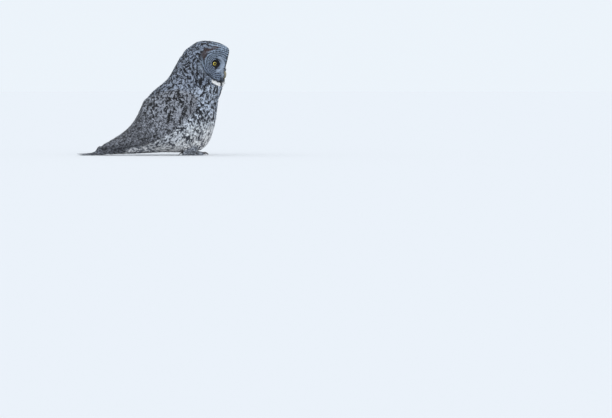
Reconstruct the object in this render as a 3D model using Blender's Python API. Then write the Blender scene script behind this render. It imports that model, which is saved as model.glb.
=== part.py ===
"""Great grey owl at life size, standing on a flat floor with its head turned to its right.

The solids are the outer shape of the plumage, divided where a person names the parts of a bird.
Places are given as forward, side and up: forward is the way the breast faces, side is the bird's
left, and up is the height over the floor. The bird faces -Y, with its left side at +X.
"""

import math

import bmesh
import bpy
import numpy as np
from mathutils import Matrix, Vector

# Driving dimensions, in metres.
CENTRE_FORWARD = -0.1506  # middle of the whole bird, in front of (+) or behind (-) the legs
GAP = 0.0003  # space between two solids that meet
HALF_GAP = GAP / 2
ROOM = 0.0005  # growth of a copy that cuts its neighbours clear

# Head, in its own frame: forward from the middle of the skull, side to the bird's left, and up.
HEAD_PLACE = (0.050, 0.0, 0.368)
HEAD_TURN = math.radians(-27.0)  # to the bird's right
HEAD_NOD = math.radians(14.0)  # face tipped down
SKULL_HALF_WIDTH = 0.0905
SKULL_HALF_HEIGHT = 0.0885
SKULL_RAISE = 0.005
SKULL_WIDEST = 0.008
SKULL_BACK = 0.099
SKULL_FRONT = 0.112
SKULL_ROUNDNESS_FRONT = 2.3
SKULL_ROUNDNESS_BACK = 1.8
FACE_PLANE = 0.038  # where the facial disc ends and the back of the head starts

# Facial disc.
DISC_HALF_WIDTH = 0.086
DISC_HALF_HEIGHT = 0.074
DISC_RAISE = 0.016
DISC_FRONT = 0.087  # of the two dishes beside the ridge, before they are hollowed
DISC_SWEEP = 0.041  # how far the side rim lies behind the middle
DISC_LEAN = 0.20  # how much the sides of the face lean back toward the crown
DISH_DEPTH = 0.014
DISH_RADIUS = 0.052
RIDGE_HALF_WIDTH = 0.012
RIDGE_FLARE = 0.011
RIM_LIP = 0.0025

# Ridge between the two halves of the face: height in the head, and how far forward it comes.
RIDGE_UP = (-0.058, -0.050, -0.030, -0.010, 0.020, 0.050, 0.080, 0.090)
RIDGE_FRONT = (0.0890, 0.0975, 0.0980, 0.1000, 0.1010, 0.1010, 0.0985, 0.0900)

# Eyes.
EYE_SIDE = 0.030
EYE_UP = 0.016
EYE_RADIUS = 0.0125
EYE_OPENING = 0.0078
EYE_OUTWARD = math.radians(24.0)

# Tail and wing tips.
TAIL_FEATHERS = 12
TAIL_BASE = -0.214
TAIL_LENGTH = 0.243
TAIL_BASE_UP = 0.047
TAIL_BASE_HALF_WIDTH = 0.030
TAIL_SPREAD = math.radians(11.0)
TAIL_NOTCH = 0.016
TAIL_ROWS = (0.0, 0.05, 0.10, 0.15, 0.19)  # distances from the base with a row of corners
WING_DEPTH = 0.0075  # how far the folded wing stands proud of the trunk

# Feet.
LEG_SIDE = 0.040
LEG_FORWARD = 0.004

# Section through the neck and trunk: breast (forward, up), back (forward, up) and half width.
TRUNK_STATIONS = (
    ((0.084, 0.352), (-0.038, 0.396), 0.072),
    ((0.104, 0.308), (-0.0635, 0.350), 0.092),
    ((0.1255, 0.264), (-0.0915, 0.304), 0.098),
    ((0.112, 0.225), (-0.136, 0.2665), 0.105),
    ((0.106, 0.180), (-0.166, 0.238), 0.108),
    ((0.101, 0.138), (-0.187, 0.197), 0.108),
    ((0.090, 0.096), (-0.201, 0.152), 0.106),
    ((0.074, 0.054), (-0.211, 0.112), 0.100),
    ((0.040, 0.022), (-0.224, 0.086), 0.090),
    ((-0.040, 0.013), (-0.236, 0.067), 0.070),
    ((-0.120, 0.014), (-0.243, 0.052), 0.044),
)

# The same for the layer that the folded wings fill, out past the trunk to the wing tips.
WING_STATIONS = TRUNK_STATIONS[2:6] + (
    ((0.090, 0.096), (-0.204, 0.160), 0.106),
    ((0.074, 0.054), (-0.226, 0.125), 0.100),
    ((0.040, 0.022), (-0.254, 0.096), 0.090),
    ((-0.080, 0.024), (-0.288, 0.072), 0.074),
    ((-0.205, 0.030), (-0.320, 0.053), 0.057),
    ((-0.295, 0.022), (-0.344, 0.038), 0.040),
    ((-0.348, 0.014), (-0.358, 0.025), 0.022),
)

# Edge of the folded wing seen from the side, as (forward, up), round from the shoulder.
WING_EDGE = (
    (0.030, 0.226),
    (-0.010, 0.250),
    (-0.070, 0.256),
    (-0.128, 0.242),
    (-0.172, 0.226),
    (-0.245, 0.236),
    (-0.330, 0.150),
    (-0.420, 0.080),
    (-0.420, 0.006),
    (-0.330, 0.014),
    (-0.250, 0.032),
    (-0.180, 0.046),
    (-0.120, 0.068),
    (-0.064, 0.100),
    (-0.018, 0.138),
    (0.018, 0.176),
)

# Undertail coverts: belly side (forward, up), tail side (forward, up) and half width.
UNDERTAIL_STATIONS = (
    ((-0.100, 0.014), (-0.200, 0.060), 0.048),
    ((-0.170, 0.010), (-0.232, 0.052), 0.052),
    ((-0.235, 0.007), (-0.262, 0.036), 0.046),
    ((-0.290, 0.006), (-0.300, 0.022), 0.034),
    ((-0.330, 0.005), (-0.332, 0.013), 0.016),
)

# Toes: turn from straight ahead (positive is outward), length from the ankle, claw length.
TOES = (
    ("inner", math.radians(-24.0), 0.043, 0.019),
    ("middle", math.radians(6.0), 0.049, 0.020),
    ("outer", math.radians(58.0), 0.041, 0.017),
    ("hind", math.radians(168.0), 0.034, 0.016),
)

PLUMAGE_GREY = (0.150, 0.165, 0.195)
PLUMAGE_DARK = (0.070, 0.075, 0.090)
PLUMAGE_PALE = (0.360, 0.380, 0.420)
IRIS_YELLOW = (0.800, 0.620, 0.080)
BILL_YELLOW = (0.620, 0.500, 0.220)
CLAW_BLACK = (0.020, 0.020, 0.022)


def place(forward, side, up):
    """The point in the bird's frame, with the origin on the floor under the middle of the bird."""
    return Vector((side, CENTRE_FORWARD - forward, up))


def head_frame():
    """Matrix from the head's own axes, as (side, -forward, up), to the bird's frame."""
    turn = Matrix.Rotation(HEAD_TURN, 4, "Z")
    nod = Matrix.Rotation(HEAD_NOD, 4, "X")
    return Matrix.Translation(place(*HEAD_PLACE)) @ turn @ nod


def in_head(forward, side, up):
    """A point given in the head's own axes."""
    return head_frame() @ Vector((side, -forward, up))


def smooth_through(rows, steps):
    """Samples of a Catmull-Rom curve through rows of numbers, with steps spans between two rows."""
    padded = [rows[0], *rows, rows[-1]]
    samples = []
    for index in range(len(rows) - 1):
        a, b, c, d = padded[index : index + 4]
        for step in range(steps):
            t = step / steps
            samples.append(
                [
                    0.5
                    * (
                        2 * q
                        + (r - p) * t
                        + (2 * p - 5 * q + 4 * r - s) * t**2
                        + (3 * q - p - 3 * r + s) * t**3
                    )
                    for p, q, r, s in zip(a, b, c, d)
                ]
            )
    samples.append(list(rows[-1]))
    return samples


def stations_through(stations, steps):
    """The stations with more between them, on smooth curves."""
    rows = [(*front, *back, half_width) for front, back, half_width in stations]
    return [((r[0], r[1]), (r[2], r[3]), r[4]) for r in smooth_through(rows, steps)]


def station_ring(station, segments, grow=0.0, fullness=2.2):
    """Points of one section, a superellipse between its front and its back."""
    (front_forward, front_up), (back_forward, back_up), half_width = station
    middle = Vector(((front_forward + back_forward) / 2, (front_up + back_up) / 2))
    half_depth = Vector(((front_forward - back_forward) / 2, (front_up - back_up) / 2))
    half_depth *= 1 + grow / half_depth.length
    points = []
    for index in range(segments):
        angle = 2 * math.pi * index / segments
        deep, wide = (
            math.copysign(abs(x) ** (2 / fullness), x) for x in (math.cos(angle), math.sin(angle))
        )
        spot = middle + half_depth * deep
        points.append(place(spot.x, (half_width + grow) * wide, spot.y))
    return points


def new_object(name, bm, colour=PLUMAGE_GREY, roughness=0.8):
    """Makes a named object from a bmesh, with its own material."""
    bmesh.ops.recalc_face_normals(bm, faces=bm.faces)
    mesh = bpy.data.meshes.new(name)
    bm.to_mesh(mesh)
    bm.free()
    obj = bpy.data.objects.new(name, mesh)
    bpy.context.scene.collection.objects.link(obj)
    finish = bpy.data.materials.new(name + "_finish")
    finish.use_nodes = True
    shader = finish.node_tree.nodes["Principled BSDF"]
    shader.inputs["Base Color"].default_value = (*colour, 1.0)
    shader.inputs["Roughness"].default_value = roughness
    mesh.materials.append(finish)
    mesh.shade_smooth()
    return obj


def bridged(bm, rings):
    """Adds quads between successive rings of vertices."""
    for lower, upper in zip(rings, rings[1:]):
        count = len(lower)
        for index in range(count):
            after = (index + 1) % count
            bm.faces.new((lower[index], lower[after], upper[after], upper[index]))


def capped(bm, ring, centre):
    """Closes a ring of vertices with a fan to a middle point."""
    hub = bm.verts.new(centre)
    for index, vertex in enumerate(ring):
        bm.faces.new((vertex, ring[(index + 1) % len(ring)], hub))


def loft(name, rings, bulge=0.0, first_bulge=None, **look):
    """A closed body over rings of points. Each end rises by bulge times its distance to the next ring."""
    bm = bmesh.new()
    vertices = [[bm.verts.new(point) for point in ring] for ring in rings]
    bridged(bm, vertices)
    bulges = (bulge if first_bulge is None else first_bulge, bulge)
    for end, inner, rise in ((0, 1, bulges[0]), (-1, -2, bulges[1])):
        middle = sum(rings[end], Vector()) / len(rings[end])
        beyond = middle - sum(rings[inner], Vector()) / len(rings[inner])
        capped(bm, vertices[end], middle + beyond * rise)
    return new_object(name, bm, **look)


def tube(name, centres, radii, across, segments=8, squash=1.0, frame=None, **look):
    """A closed tapering body along points in one plane, which across stands square to."""
    frame = frame or Matrix.Identity(4)
    rings = []
    for index, (centre, radius) in enumerate(zip(centres, radii)):
        before = centres[max(index - 1, 0)]
        after = centres[min(index + 1, len(centres) - 1)]
        lift = across.cross(after - before).normalized()
        ring = []
        for step in range(segments):
            angle = 2 * math.pi * step / segments
            spread = across * math.cos(angle) + lift * math.sin(angle) * squash
            ring.append(frame @ (centre + spread * radius))
        rings.append(ring)
    return loft(name, rings, bulge=0.3, **look)


def evaluated(obj):
    """Applies the object's modifiers to its mesh."""
    bpy.context.view_layer.update()
    graph = bpy.context.evaluated_depsgraph_get()
    mesh = bpy.data.meshes.new_from_object(obj.evaluated_get(graph))
    obj.modifiers.clear()
    obj.data = mesh
    return obj


def combine(obj, others, operation="DIFFERENCE"):
    """Cuts, joins or keeps what is shared, one other object after another, and applies the result."""
    for other in others:
        boolean = obj.modifiers.new(operation.lower(), "BOOLEAN")
        boolean.operation = operation
        boolean.solver = "EXACT"
        boolean.object = other
        evaluated(obj)
    return obj


def copy_of(obj, name):
    """A separate object with its own copy of the mesh."""
    twin = obj.copy()
    twin.data = obj.data.copy()
    twin.name = name
    bpy.context.scene.collection.objects.link(twin)
    return twin


def discard(*objects):
    """Removes helpers once they have cut what they cut."""
    for obj in objects:
        bpy.data.objects.remove(obj)


def keep_side(obj, point, normal):
    """Cuts the object with a plane and closes it, keeping what lies on the side the normal points to."""
    bm = bmesh.new()
    bm.from_mesh(obj.data)
    everything = bm.verts[:] + bm.edges[:] + bm.faces[:]
    bmesh.ops.bisect_plane(
        bm, geom=everything, dist=1e-7, plane_co=point, plane_no=-normal, clear_outer=True
    )
    edges = [edge for edge in bm.edges if edge.is_boundary]
    bmesh.ops.holes_fill(bm, edges=edges, sides=0)
    bmesh.ops.recalc_face_normals(bm, faces=bm.faces)
    bm.to_mesh(obj.data)
    bm.free()
    return obj


def keep_largest(obj):
    """Leaves only the body with the most surface, and drops slivers that a cut left over."""
    bm = bmesh.new()
    bm.from_mesh(obj.data)
    waiting = set(bm.faces)
    bodies = []
    while waiting:
        edge_of_body = [waiting.pop()]
        body = list(edge_of_body)
        while edge_of_body:
            face = edge_of_body.pop()
            for edge in face.edges:
                for other in edge.link_faces:
                    if other in waiting:
                        waiting.remove(other)
                        edge_of_body.append(other)
                        body.append(other)
        bodies.append(body)
    bodies.sort(key=lambda body: sum(face.calc_area() for face in body))
    extra = [vertex for body in bodies[:-1] for face in body for vertex in face.verts]
    bmesh.ops.delete(bm, geom=list(set(extra)), context="VERTS")
    bm.to_mesh(obj.data)
    bm.free()
    return obj


def split(obj, point, normal, first, second):
    """Parts an object in two with a thin cut. The first is on the side that the normal points to."""
    other = copy_of(obj, second)
    obj.name = first
    keep_side(obj, point + normal * HALF_GAP, normal)
    keep_side(other, point - normal * HALF_GAP, -normal)
    return obj, other


def prism(name, edge, low_side, high_side):
    """A closed body with an outline seen from the side, between two distances to the side."""
    bm = bmesh.new()
    rings = [
        [bm.verts.new(place(forward, side, up)) for forward, up in edge]
        for side in (low_side, high_side)
    ]
    bridged(bm, rings)
    for ring in rings:
        bm.faces.new(ring)
    return new_object(name, bm)


def skull_scale(forward):
    """Size of the skull's section there, as a share of its widest."""
    in_front = forward > SKULL_WIDEST
    reach = SKULL_FRONT if in_front else SKULL_BACK
    roundness = SKULL_ROUNDNESS_FRONT if in_front else SKULL_ROUNDNESS_BACK
    share = min(abs(forward - SKULL_WIDEST) / reach, 1.0)
    return (1 - share**roundness) ** (1 / roundness)


def skull(name, front, grow=0.0, segments=24):
    """The back of the head, with its flat front at a distance forward of its middle."""
    middle = in_head(0.0, 0.0, SKULL_RAISE)
    back = [SKULL_WIDEST - SKULL_BACK * math.sin(k * math.pi / 14) for k in range(7)]
    rings = []
    for forward in (front, 0.022, *back, SKULL_WIDEST - SKULL_BACK * 0.997):
        scale = skull_scale(forward)
        ring = []
        for index in range(segments):
            angle = 2 * math.pi * index / segments
            side = SKULL_HALF_WIDTH * scale * math.sin(angle)
            up = SKULL_RAISE + SKULL_HALF_HEIGHT * scale * math.cos(angle)
            point = in_head(forward, side, up)
            ring.append(point + (point - middle).normalized() * grow)
        rings.append(ring)
    return loft(name, rings, bulge=0.1, first_bulge=0.0)


def face_front(side, up):
    """How far forward the face lies: two hollow dishes that sweep back from a ridge."""
    from_eye = math.hypot(abs(side) - EYE_SIDE, up - EYE_UP) / DISH_RADIUS
    hollow = DISH_DEPTH * max(0.0, 1 - from_eye**2)
    outward = abs(side) / DISC_HALF_WIDTH
    dish = DISC_FRONT - DISC_SWEEP * outward**2.2 - hollow
    dish -= DISC_LEAN * (up - DISC_RAISE) * min(1.0, 1.7 * outward)
    flare = RIDGE_FLARE * ((up - DISC_RAISE) / DISC_HALF_HEIGHT) ** 2
    nearness = math.exp(-((side / (RIDGE_HALF_WIDTH + flare)) ** 2))
    return dish + (float(np.interp(up, RIDGE_UP, RIDGE_FRONT)) - dish) * nearness


def facial_disc(name, segments=28, grow=0.0):
    """The face: polar rings over the disc, rounded over its rim down to the face plane."""
    rings = []
    disc_steps = (0.12, 0.25, 0.38, 0.51, 0.64, 0.77, 0.89, 0.96, 1.0)
    for reach in disc_steps:
        ring = []
        for index in range(segments):
            angle = 2 * math.pi * index / segments
            side = reach * (DISC_HALF_WIDTH + grow) * math.sin(angle)
            up = DISC_RAISE + reach * (DISC_HALF_HEIGHT + grow) * math.cos(angle)
            lip = RIM_LIP * math.exp(-(((reach - 0.98) / 0.05) ** 2))
            ring.append((face_front(side, up) + lip + grow, side, up))
        rings.append(ring)
    base = FACE_PLANE - grow if grow else FACE_PLANE + HALF_GAP
    scale = skull_scale(FACE_PLANE)
    for share in (0.35, 0.7, 1.0):
        ring = []
        for index, (front, side, up) in enumerate(rings[len(disc_steps) - 1]):
            angle = 2 * math.pi * index / segments
            base_side = (SKULL_HALF_WIDTH * scale + grow) * math.sin(angle)
            base_up = SKULL_RAISE + (SKULL_HALF_HEIGHT * scale + grow) * math.cos(angle)
            outward = math.sin(share * math.pi / 2)
            forward = base + (front - base) * math.cos(share * math.pi / 2) ** 0.8
            ring.append(
                (forward, side + (base_side - side) * outward, up + (base_up - up) * outward)
            )
        rings.append(ring)
    bm = bmesh.new()
    vertices = [[bm.verts.new(in_head(*point)) for point in ring] for ring in rings]
    bridged(bm, vertices)
    capped(bm, vertices[0], in_head(face_front(0.0, DISC_RAISE) + grow, 0.0, DISC_RAISE))
    capped(bm, vertices[-1], in_head(base, 0.0, SKULL_RAISE))
    return new_object(name, bm)


def eye_centre(side_sign):
    """Middle of one eyeball, in the head's own axes."""
    depth = math.sqrt(EYE_RADIUS**2 - EYE_OPENING**2)
    front = face_front(EYE_SIDE, EYE_UP)
    return (
        front - depth * math.cos(EYE_OUTWARD),
        side_sign * (EYE_SIDE - depth * math.sin(EYE_OUTWARD)),
        EYE_UP,
    )


def ball(name, centre, radius, segments=14, **look):
    """A round solid, such as an eyeball."""
    bm = bmesh.new()
    bmesh.ops.create_uvsphere(bm, u_segments=segments, v_segments=segments // 2, radius=radius)
    bmesh.ops.translate(bm, verts=bm.verts, vec=centre)
    return new_object(name, bm, **look)


def bill_half(name, path, radii, grow=0.0):
    """The upper or the lower bill, a hooked cone that leaves the ridge of the face."""
    rows = smooth_through([(*spot, radius) for spot, radius in zip(path, radii)], 2)
    centres = [Vector((0.0, -forward, up)) for forward, up, _ in rows]
    widths = [radius + grow for _, _, radius in rows]
    return tube(
        name,
        centres,
        widths,
        Vector((1, 0, 0)),
        squash=1.2,
        frame=head_frame(),
        colour=BILL_YELLOW,
        roughness=0.4,
    )


def build_head():
    """Back of the head, facial disc, both eyes and both halves of the bill."""
    skull("head", FACE_PLANE - HALF_GAP)
    disc = facial_disc("facial_disc")
    for label, side_sign in (("left", 1), ("right", -1)):
        centre = in_head(*eye_centre(side_sign))
        ball("eye_" + label, centre, EYE_RADIUS, colour=IRIS_YELLOW, roughness=0.1)
        socket = ball("socket", centre, EYE_RADIUS + ROOM)
        combine(disc, [socket])
        discard(socket)
    upper = ((0.090, -0.006), (0.102, -0.009), (0.1095, -0.018), (0.1105, -0.029), (0.1078, -0.038))
    upper_radii = (0.0070, 0.0070, 0.0060, 0.0040, 0.0011)
    lower = ((0.090, -0.0235), (0.0985, -0.0270), (0.1035, -0.0345))
    lower_radii = (0.0050, 0.0044, 0.0012)
    for name, path, radii in (
        ("bill_upper", upper, upper_radii),
        ("bill_lower", lower, lower_radii),
    ):
        room = bill_half("bill_room", path, radii, grow=GAP)
        combine(disc, [room])
        discard(room)
        bill_half(name, path, radii)
    room = bill_half("bill_room", upper, upper_radii, grow=GAP)
    combine(bpy.data.objects["bill_lower"], [room])
    discard(room)


def head_room(name):
    """The whole head, a little larger, to cut away what it sits in."""
    room = skull(name, FACE_PLANE + 0.001, GAP * 1.5)
    disc = facial_disc("disc_room", grow=1.0 * GAP)
    combine(room, [disc], "UNION")
    discard(disc)
    return room


def body_loft(name, stations, steps, segments, grow=0.0, **look):
    """A body over smooth stations, grown outward evenly."""
    rings = [station_ring(s, segments, grow) for s in stations_through(stations, steps)]
    for end, inner in ((0, 1), (-1, -2)):
        along = sum(rings[end], Vector()) - sum(rings[inner], Vector())
        rings[end] = [point + along.normalized() * grow * 2 for point in rings[end]]
    return loft(name, rings, bulge=0.5, **look)


def tail_reach(across):
    """Length of the tail at a place across it from -1 to 1, with a tip for each feather."""
    place_in_fan = (across + 1) / 2 * TAIL_FEATHERS
    within = place_in_fan - min(math.floor(place_in_fan), TAIL_FEATHERS - 1)
    tip = 1 - abs(2 * within - 1) ** 2.0
    return TAIL_LENGTH * (1 - 0.09 * across**2) - TAIL_NOTCH * (1 - tip)


def tail_point(across, run, top, grow):
    """A point on the top or the underside of the tail, at a distance from its base."""
    share = run / TAIL_LENGTH
    middle_up = 0.0035 + (TAIL_BASE_UP - 0.0035) * (1 - share) ** 1.9
    arch = 0.014 - 0.010 * share
    half_thickness = (0.0065 - 0.0052 * share**0.8) * (1 - 0.75 * across**4)
    up = middle_up - arch * across**2 + (half_thickness + grow) * (1 if top else -1)
    lowest = 0.0011 + grow if top else -grow
    run += 2 * grow * share - grow
    side = (TAIL_BASE_HALF_WIDTH + 2 * grow) * across + run * math.sin(TAIL_SPREAD * across)
    return place(TAIL_BASE - run * math.cos(TAIL_SPREAD * across), side, max(up, lowest))


def build_tail(name="tail", grow=0.0, columns_per_feather=3):
    """The fan of tail feathers, arched at its base and laid on the floor at its end."""
    last = TAIL_FEATHERS * columns_per_feather
    columns = [-1 + 2 * k / last for k in range(last + 1)]
    bm = bmesh.new()
    sheets = []
    for top in (True, False):
        rows = [[(a, run) for a in columns] for run in TAIL_ROWS]
        rows.append([(a, tail_reach(a)) for a in columns])
        sheets.append([[bm.verts.new(tail_point(a, r, top, grow)) for a, r in row] for row in rows])
    above, below = sheets
    for sheet in sheets:
        for near, far in zip(sheet, sheet[1:]):
            for k in range(last):
                bm.faces.new((near[k], near[k + 1], far[k + 1], far[k]))
    around_above = [*above[0], *(row[-1] for row in above[1:]), *reversed(above[-1][:-1])]
    around_above += [row[0] for row in reversed(above[1:-1])]
    around_below = [*below[0], *(row[-1] for row in below[1:]), *reversed(below[-1][:-1])]
    around_below += [row[0] for row in reversed(below[1:-1])]
    bridged(bm, [around_above, around_below])
    return new_object(name, bm, colour=PLUMAGE_DARK)


def build_legs(trunk):
    """Feathered legs, feathered toes and claws. The trunk is cut clear of the legs."""
    leg_rows = ((0.084, 0.026, 0.030), (0.060, 0.028, 0.032), (0.038, 0.024, 0.028), (0.018, 0.0165, 0.019))
    for label, side_sign in (("left", 1), ("right", -1)):
        ankle_side = side_sign * LEG_SIDE
        for name, grow in (("leg_" + label, 0.0), ("leg_room", GAP)):
            rings = []
            for up, half_width, half_depth in smooth_through(leg_rows, 2):
                ring = []
                for k in range(16):
                    angle = 2 * math.pi * k / 16
                    forward = LEG_FORWARD + (half_depth + grow) * math.cos(angle)
                    ring.append(
                        place(forward, ankle_side + (half_width + grow) * math.sin(angle), up)
                    )
                rings.append(ring)
            loft(name, rings)
        rooms = [bpy.data.objects["leg_room"], foot_room(side_sign)]
        combine(trunk, rooms)
        discard(*rooms)
        keep_side(bpy.data.objects["leg_" + label], place(0, 0, 0.0182), Vector((0, 0, 1)))
        build_foot(label, side_sign, ankle_side)


def foot_room(side_sign):
    """A low round body about one foot, to cut the fluff of the belly clear of it."""
    rings = []
    for up, radius in ((-0.01, 0.024), (0.0165, 0.024), (0.0186, 0.019)):
        ring = []
        for k in range(16):
            angle = 2 * math.pi * k / 16
            forward = LEG_FORWARD + radius * math.cos(angle)
            ring.append(place(forward, side_sign * LEG_SIDE + radius * math.sin(angle), up))
        rings.append(ring)
    return loft("foot_room", rings)


def build_foot(label, side_sign, ankle_side):
    """One foot of four toes, each flat under its pads, and its claws."""
    foot = tube(
        "foot_" + label,
        [place(LEG_FORWARD, ankle_side, up) for up in (0.005, 0.010, 0.0155, 0.0185)],
        (0.0120, 0.0150, 0.0155, 0.0130),
        Vector((1, 0, 0)),
        segments=12,
    )
    for toe_name, turn, length, claw_length in TOES:
        ahead = Vector((side_sign * math.sin(turn), -math.cos(turn), 0.0))
        across = ahead.cross(Vector((0, 0, 1)))
        ankle = place(LEG_FORWARD, ankle_side, 0.0)
        spots = ((0.006, 0.0095), (0.35 * length, 0.0076), (0.7 * length, 0.0068), (length, 0.0054))
        radii = (0.0085, 0.0086, 0.0078, 0.0062)
        toe = tube(
            "toe",
            [ankle + ahead * reach + Vector((0, 0, up)) for reach, up in spots],
            radii,
            across,
        )
        claw_rows = (
            (length - 0.004, 0.0078, 0.0030),
            (length + 0.30 * claw_length, 0.0092, 0.0026),
            (length + 0.70 * claw_length, 0.0070, 0.0017),
            (length + claw_length, 0.0024, 0.0006),
        )
        rows = smooth_through(claw_rows, 1)
        centres = [ankle + ahead * reach + Vector((0, 0, up)) for reach, up, _ in rows]
        claw_name = f"claw_{label}_{toe_name}"
        tube(claw_name, centres, [r[2] for r in rows], across, 6, colour=CLAW_BLACK)
        room = tube("claw_room", centres, [r[2] + GAP for r in rows], across, 6)
        combine(foot, [toe], "UNION")
        combine(foot, [room])
        discard(toe, room)
    keep_side(foot, place(0, 0, 0.0), Vector((0, 0, 1)))
    keep_side(foot, place(0, 0, 0.0179), Vector((0, 0, -1)))


def build_wings(rooms):
    """The folded wings, each parted into coverts, secondaries and primaries."""
    edge = smooth_through([*WING_EDGE, WING_EDGE[0]], 2)[:-1]
    for label, side_sign in (("left", 1), ("right", -1)):
        wing = body_loft("wing", WING_STATIONS, 2, 24, grow=WING_DEPTH)
        outline = prism("wing_outline", edge, side_sign * GAP, side_sign * 0.2)
        combine(wing, [outline], "INTERSECT")
        combine(wing, rooms)
        discard(outline)
        keep_largest(wing)
        across = Vector((0.0, 0.94, -0.34)).normalized()
        primaries, arm = split(
            wing, place(-0.218, 0, 0.090), across, "primaries_" + label, "arm"
        )
        along = Vector((0.0, -0.62, 0.78)).normalized()
        split(arm, place(-0.070, 0, 0.165), along, "wing_coverts_" + label, "secondaries_" + label)
        primaries.data.materials[0].node_tree.nodes["Principled BSDF"].inputs[
            "Base Color"
        ].default_value = (*PLUMAGE_DARK, 1.0)


def main():
    """Builds every part of the bird."""
    for obj in list(bpy.data.objects):
        bpy.data.objects.remove(obj)
    build_head()
    build_tail()
    tail_room = build_tail("tail_room", ROOM, columns_per_feather=1)
    whole = body_loft("whole", TRUNK_STATIONS, 2, 24)
    trunk_room = body_loft("trunk_room", TRUNK_STATIONS, 2, 24, grow=ROOM)
    undertail = body_loft("undertail_coverts", UNDERTAIL_STATIONS, 2, 12, colour=PLUMAGE_PALE)
    combine(undertail, [trunk_room, tail_room])
    keep_largest(undertail)
    undertail_room = body_loft("undertail_room", UNDERTAIL_STATIONS, 2, 12, grow=2 * ROOM)
    build_wings([trunk_room, tail_room, undertail_room])
    head = head_room("head_room")
    combine(whole, [head, tail_room])
    discard(head, trunk_room, tail_room, undertail_room)
    cut_at = place(0.010, 0, 0.262)
    trunk, neck = split(whole, cut_at, Vector((0.0, -0.16, -0.98)).normalized(), "trunk", "neck")
    keep_largest(trunk)
    keep_largest(neck)
    build_legs(trunk)


main()
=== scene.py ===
"""Looks of a life-size great grey owl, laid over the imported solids.

The skin is one closed shape inside the solids. Feathers are thin closed vanes planted on it, which
follow the lie of the plumage. Places are given as forward, side and up: forward is the way the
breast faces, side is the bird's left and up is the height over the floor. The bird faces -Y.
"""

from __future__ import annotations

import logging
import math
from dataclasses import astuple, dataclass, field
from enum import Enum

import bmesh
import bpy
import numpy as np
from mathutils import Matrix, Vector
from mathutils.bvhtree import BVHTree
from mathutils.kdtree import KDTree

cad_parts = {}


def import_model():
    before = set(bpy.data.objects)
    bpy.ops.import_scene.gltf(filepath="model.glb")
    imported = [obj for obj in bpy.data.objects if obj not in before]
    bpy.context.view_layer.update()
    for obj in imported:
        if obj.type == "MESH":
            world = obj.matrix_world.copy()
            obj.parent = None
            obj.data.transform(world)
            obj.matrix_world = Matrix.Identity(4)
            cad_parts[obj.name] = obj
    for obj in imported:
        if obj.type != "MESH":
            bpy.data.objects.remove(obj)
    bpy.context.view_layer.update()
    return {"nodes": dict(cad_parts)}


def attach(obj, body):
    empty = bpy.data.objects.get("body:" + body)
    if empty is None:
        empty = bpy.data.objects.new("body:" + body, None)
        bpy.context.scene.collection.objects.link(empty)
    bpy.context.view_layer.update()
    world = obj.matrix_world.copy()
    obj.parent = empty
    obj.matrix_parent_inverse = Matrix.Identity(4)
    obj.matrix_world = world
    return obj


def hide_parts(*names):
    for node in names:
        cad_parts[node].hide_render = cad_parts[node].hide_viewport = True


LOG = logging.getLogger("owl")
BODY = "root"
BAKE_MAP = "OFBake"
VANE_MAP = "Vane"
FLOOR_CLEARANCE = 0.0004
ANKLE_FORWARD = 0.004
ANKLE_SIDE = 0.040

Array = np.ndarray
Colour = tuple[float, float, float]


def srgb(red: int, green: int, blue: int) -> Colour:
    """Turns screen values from 0 to 255 into a linear colour."""
    parts = [value / 255 for value in (red, green, blue)]
    return tuple(x / 12.92 if x <= 0.04045 else ((x + 0.055) / 1.055) ** 2.4 for x in parts)


def unit(vectors: Array) -> Array:
    """Scales rows of vectors to length one."""
    length = np.linalg.norm(vectors, axis=-1, keepdims=True)
    return vectors / np.maximum(length, 1e-12)


def flattened(ways: Array, normals: Array) -> Array:
    """Lays rows of directions flat on a surface with these normals."""
    return unit(ways - normals * np.sum(ways * normals, axis=-1, keepdims=True))


def blended(first: Array, second: Array, share: Array) -> Array:
    """Mixes rows of values by each row's share of the second."""
    share = share[:, None]
    return first * (1 - share) + second * share


def ease(values: Array, low: float, high: float) -> Array:
    """Smooth step from 0 at low to 1 at high, or the other way round if low is above high."""
    share = np.clip((values - low) / (high - low), 0.0, 1.0)
    return share * share * (3 - 2 * share)


def bell(values: Array, middle: float, width: float) -> Array:
    """A smooth bump of height one at its middle, with its width on each side."""
    return np.exp(-(((values - middle) / width) ** 2))


def evened(rows: Array, passes: int) -> Array:
    """Evens values along shafts.

    Args:
        rows: Values as (feathers, rows, 3).
        passes: How often to average.

    Returns:
        The evened values, with the first and the last row kept.
    """
    for _ in range(passes):
        middle = (rows[:, :-2] + rows[:, 1:-1] * 2 + rows[:, 2:]) / 4
        rows = np.concatenate([rows[:, :1], middle, rows[:, -1:]], axis=1)
    return rows


def value_noise(points: Array, seed: float = 0.0) -> Array:
    """Smooth random values on a unit lattice.

    Args:
        points: Rows of three coordinates, in lattice cells.
        seed: Shifts the pattern.

    Returns:
        One value from 0 to 1 for each row.
    """
    base = np.floor(points)
    part = points - base
    part = part * part * (3 - 2 * part)
    total = np.zeros(len(points))
    for corner in np.ndindex(2, 2, 2):
        spot = base + corner
        phase = spot @ np.array((127.1, 311.7, 74.7)) + seed * 57.3
        chance = np.abs(np.sin(phase) * 43758.5453) % 1.0
        share = np.prod(np.where(corner, part, 1 - part), axis=1)
        total += share * chance
    return total


def add_object(name: str, data: bpy.types.ID) -> bpy.types.Object:
    """Puts a mesh, a light or a camera into the scene.

    Args:
        name: Name of the object.
        data: What it shows.

    Returns:
        The object.
    """
    obj = bpy.data.objects.new(name, data)
    bpy.context.scene.collection.objects.link(obj)
    return obj


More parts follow.
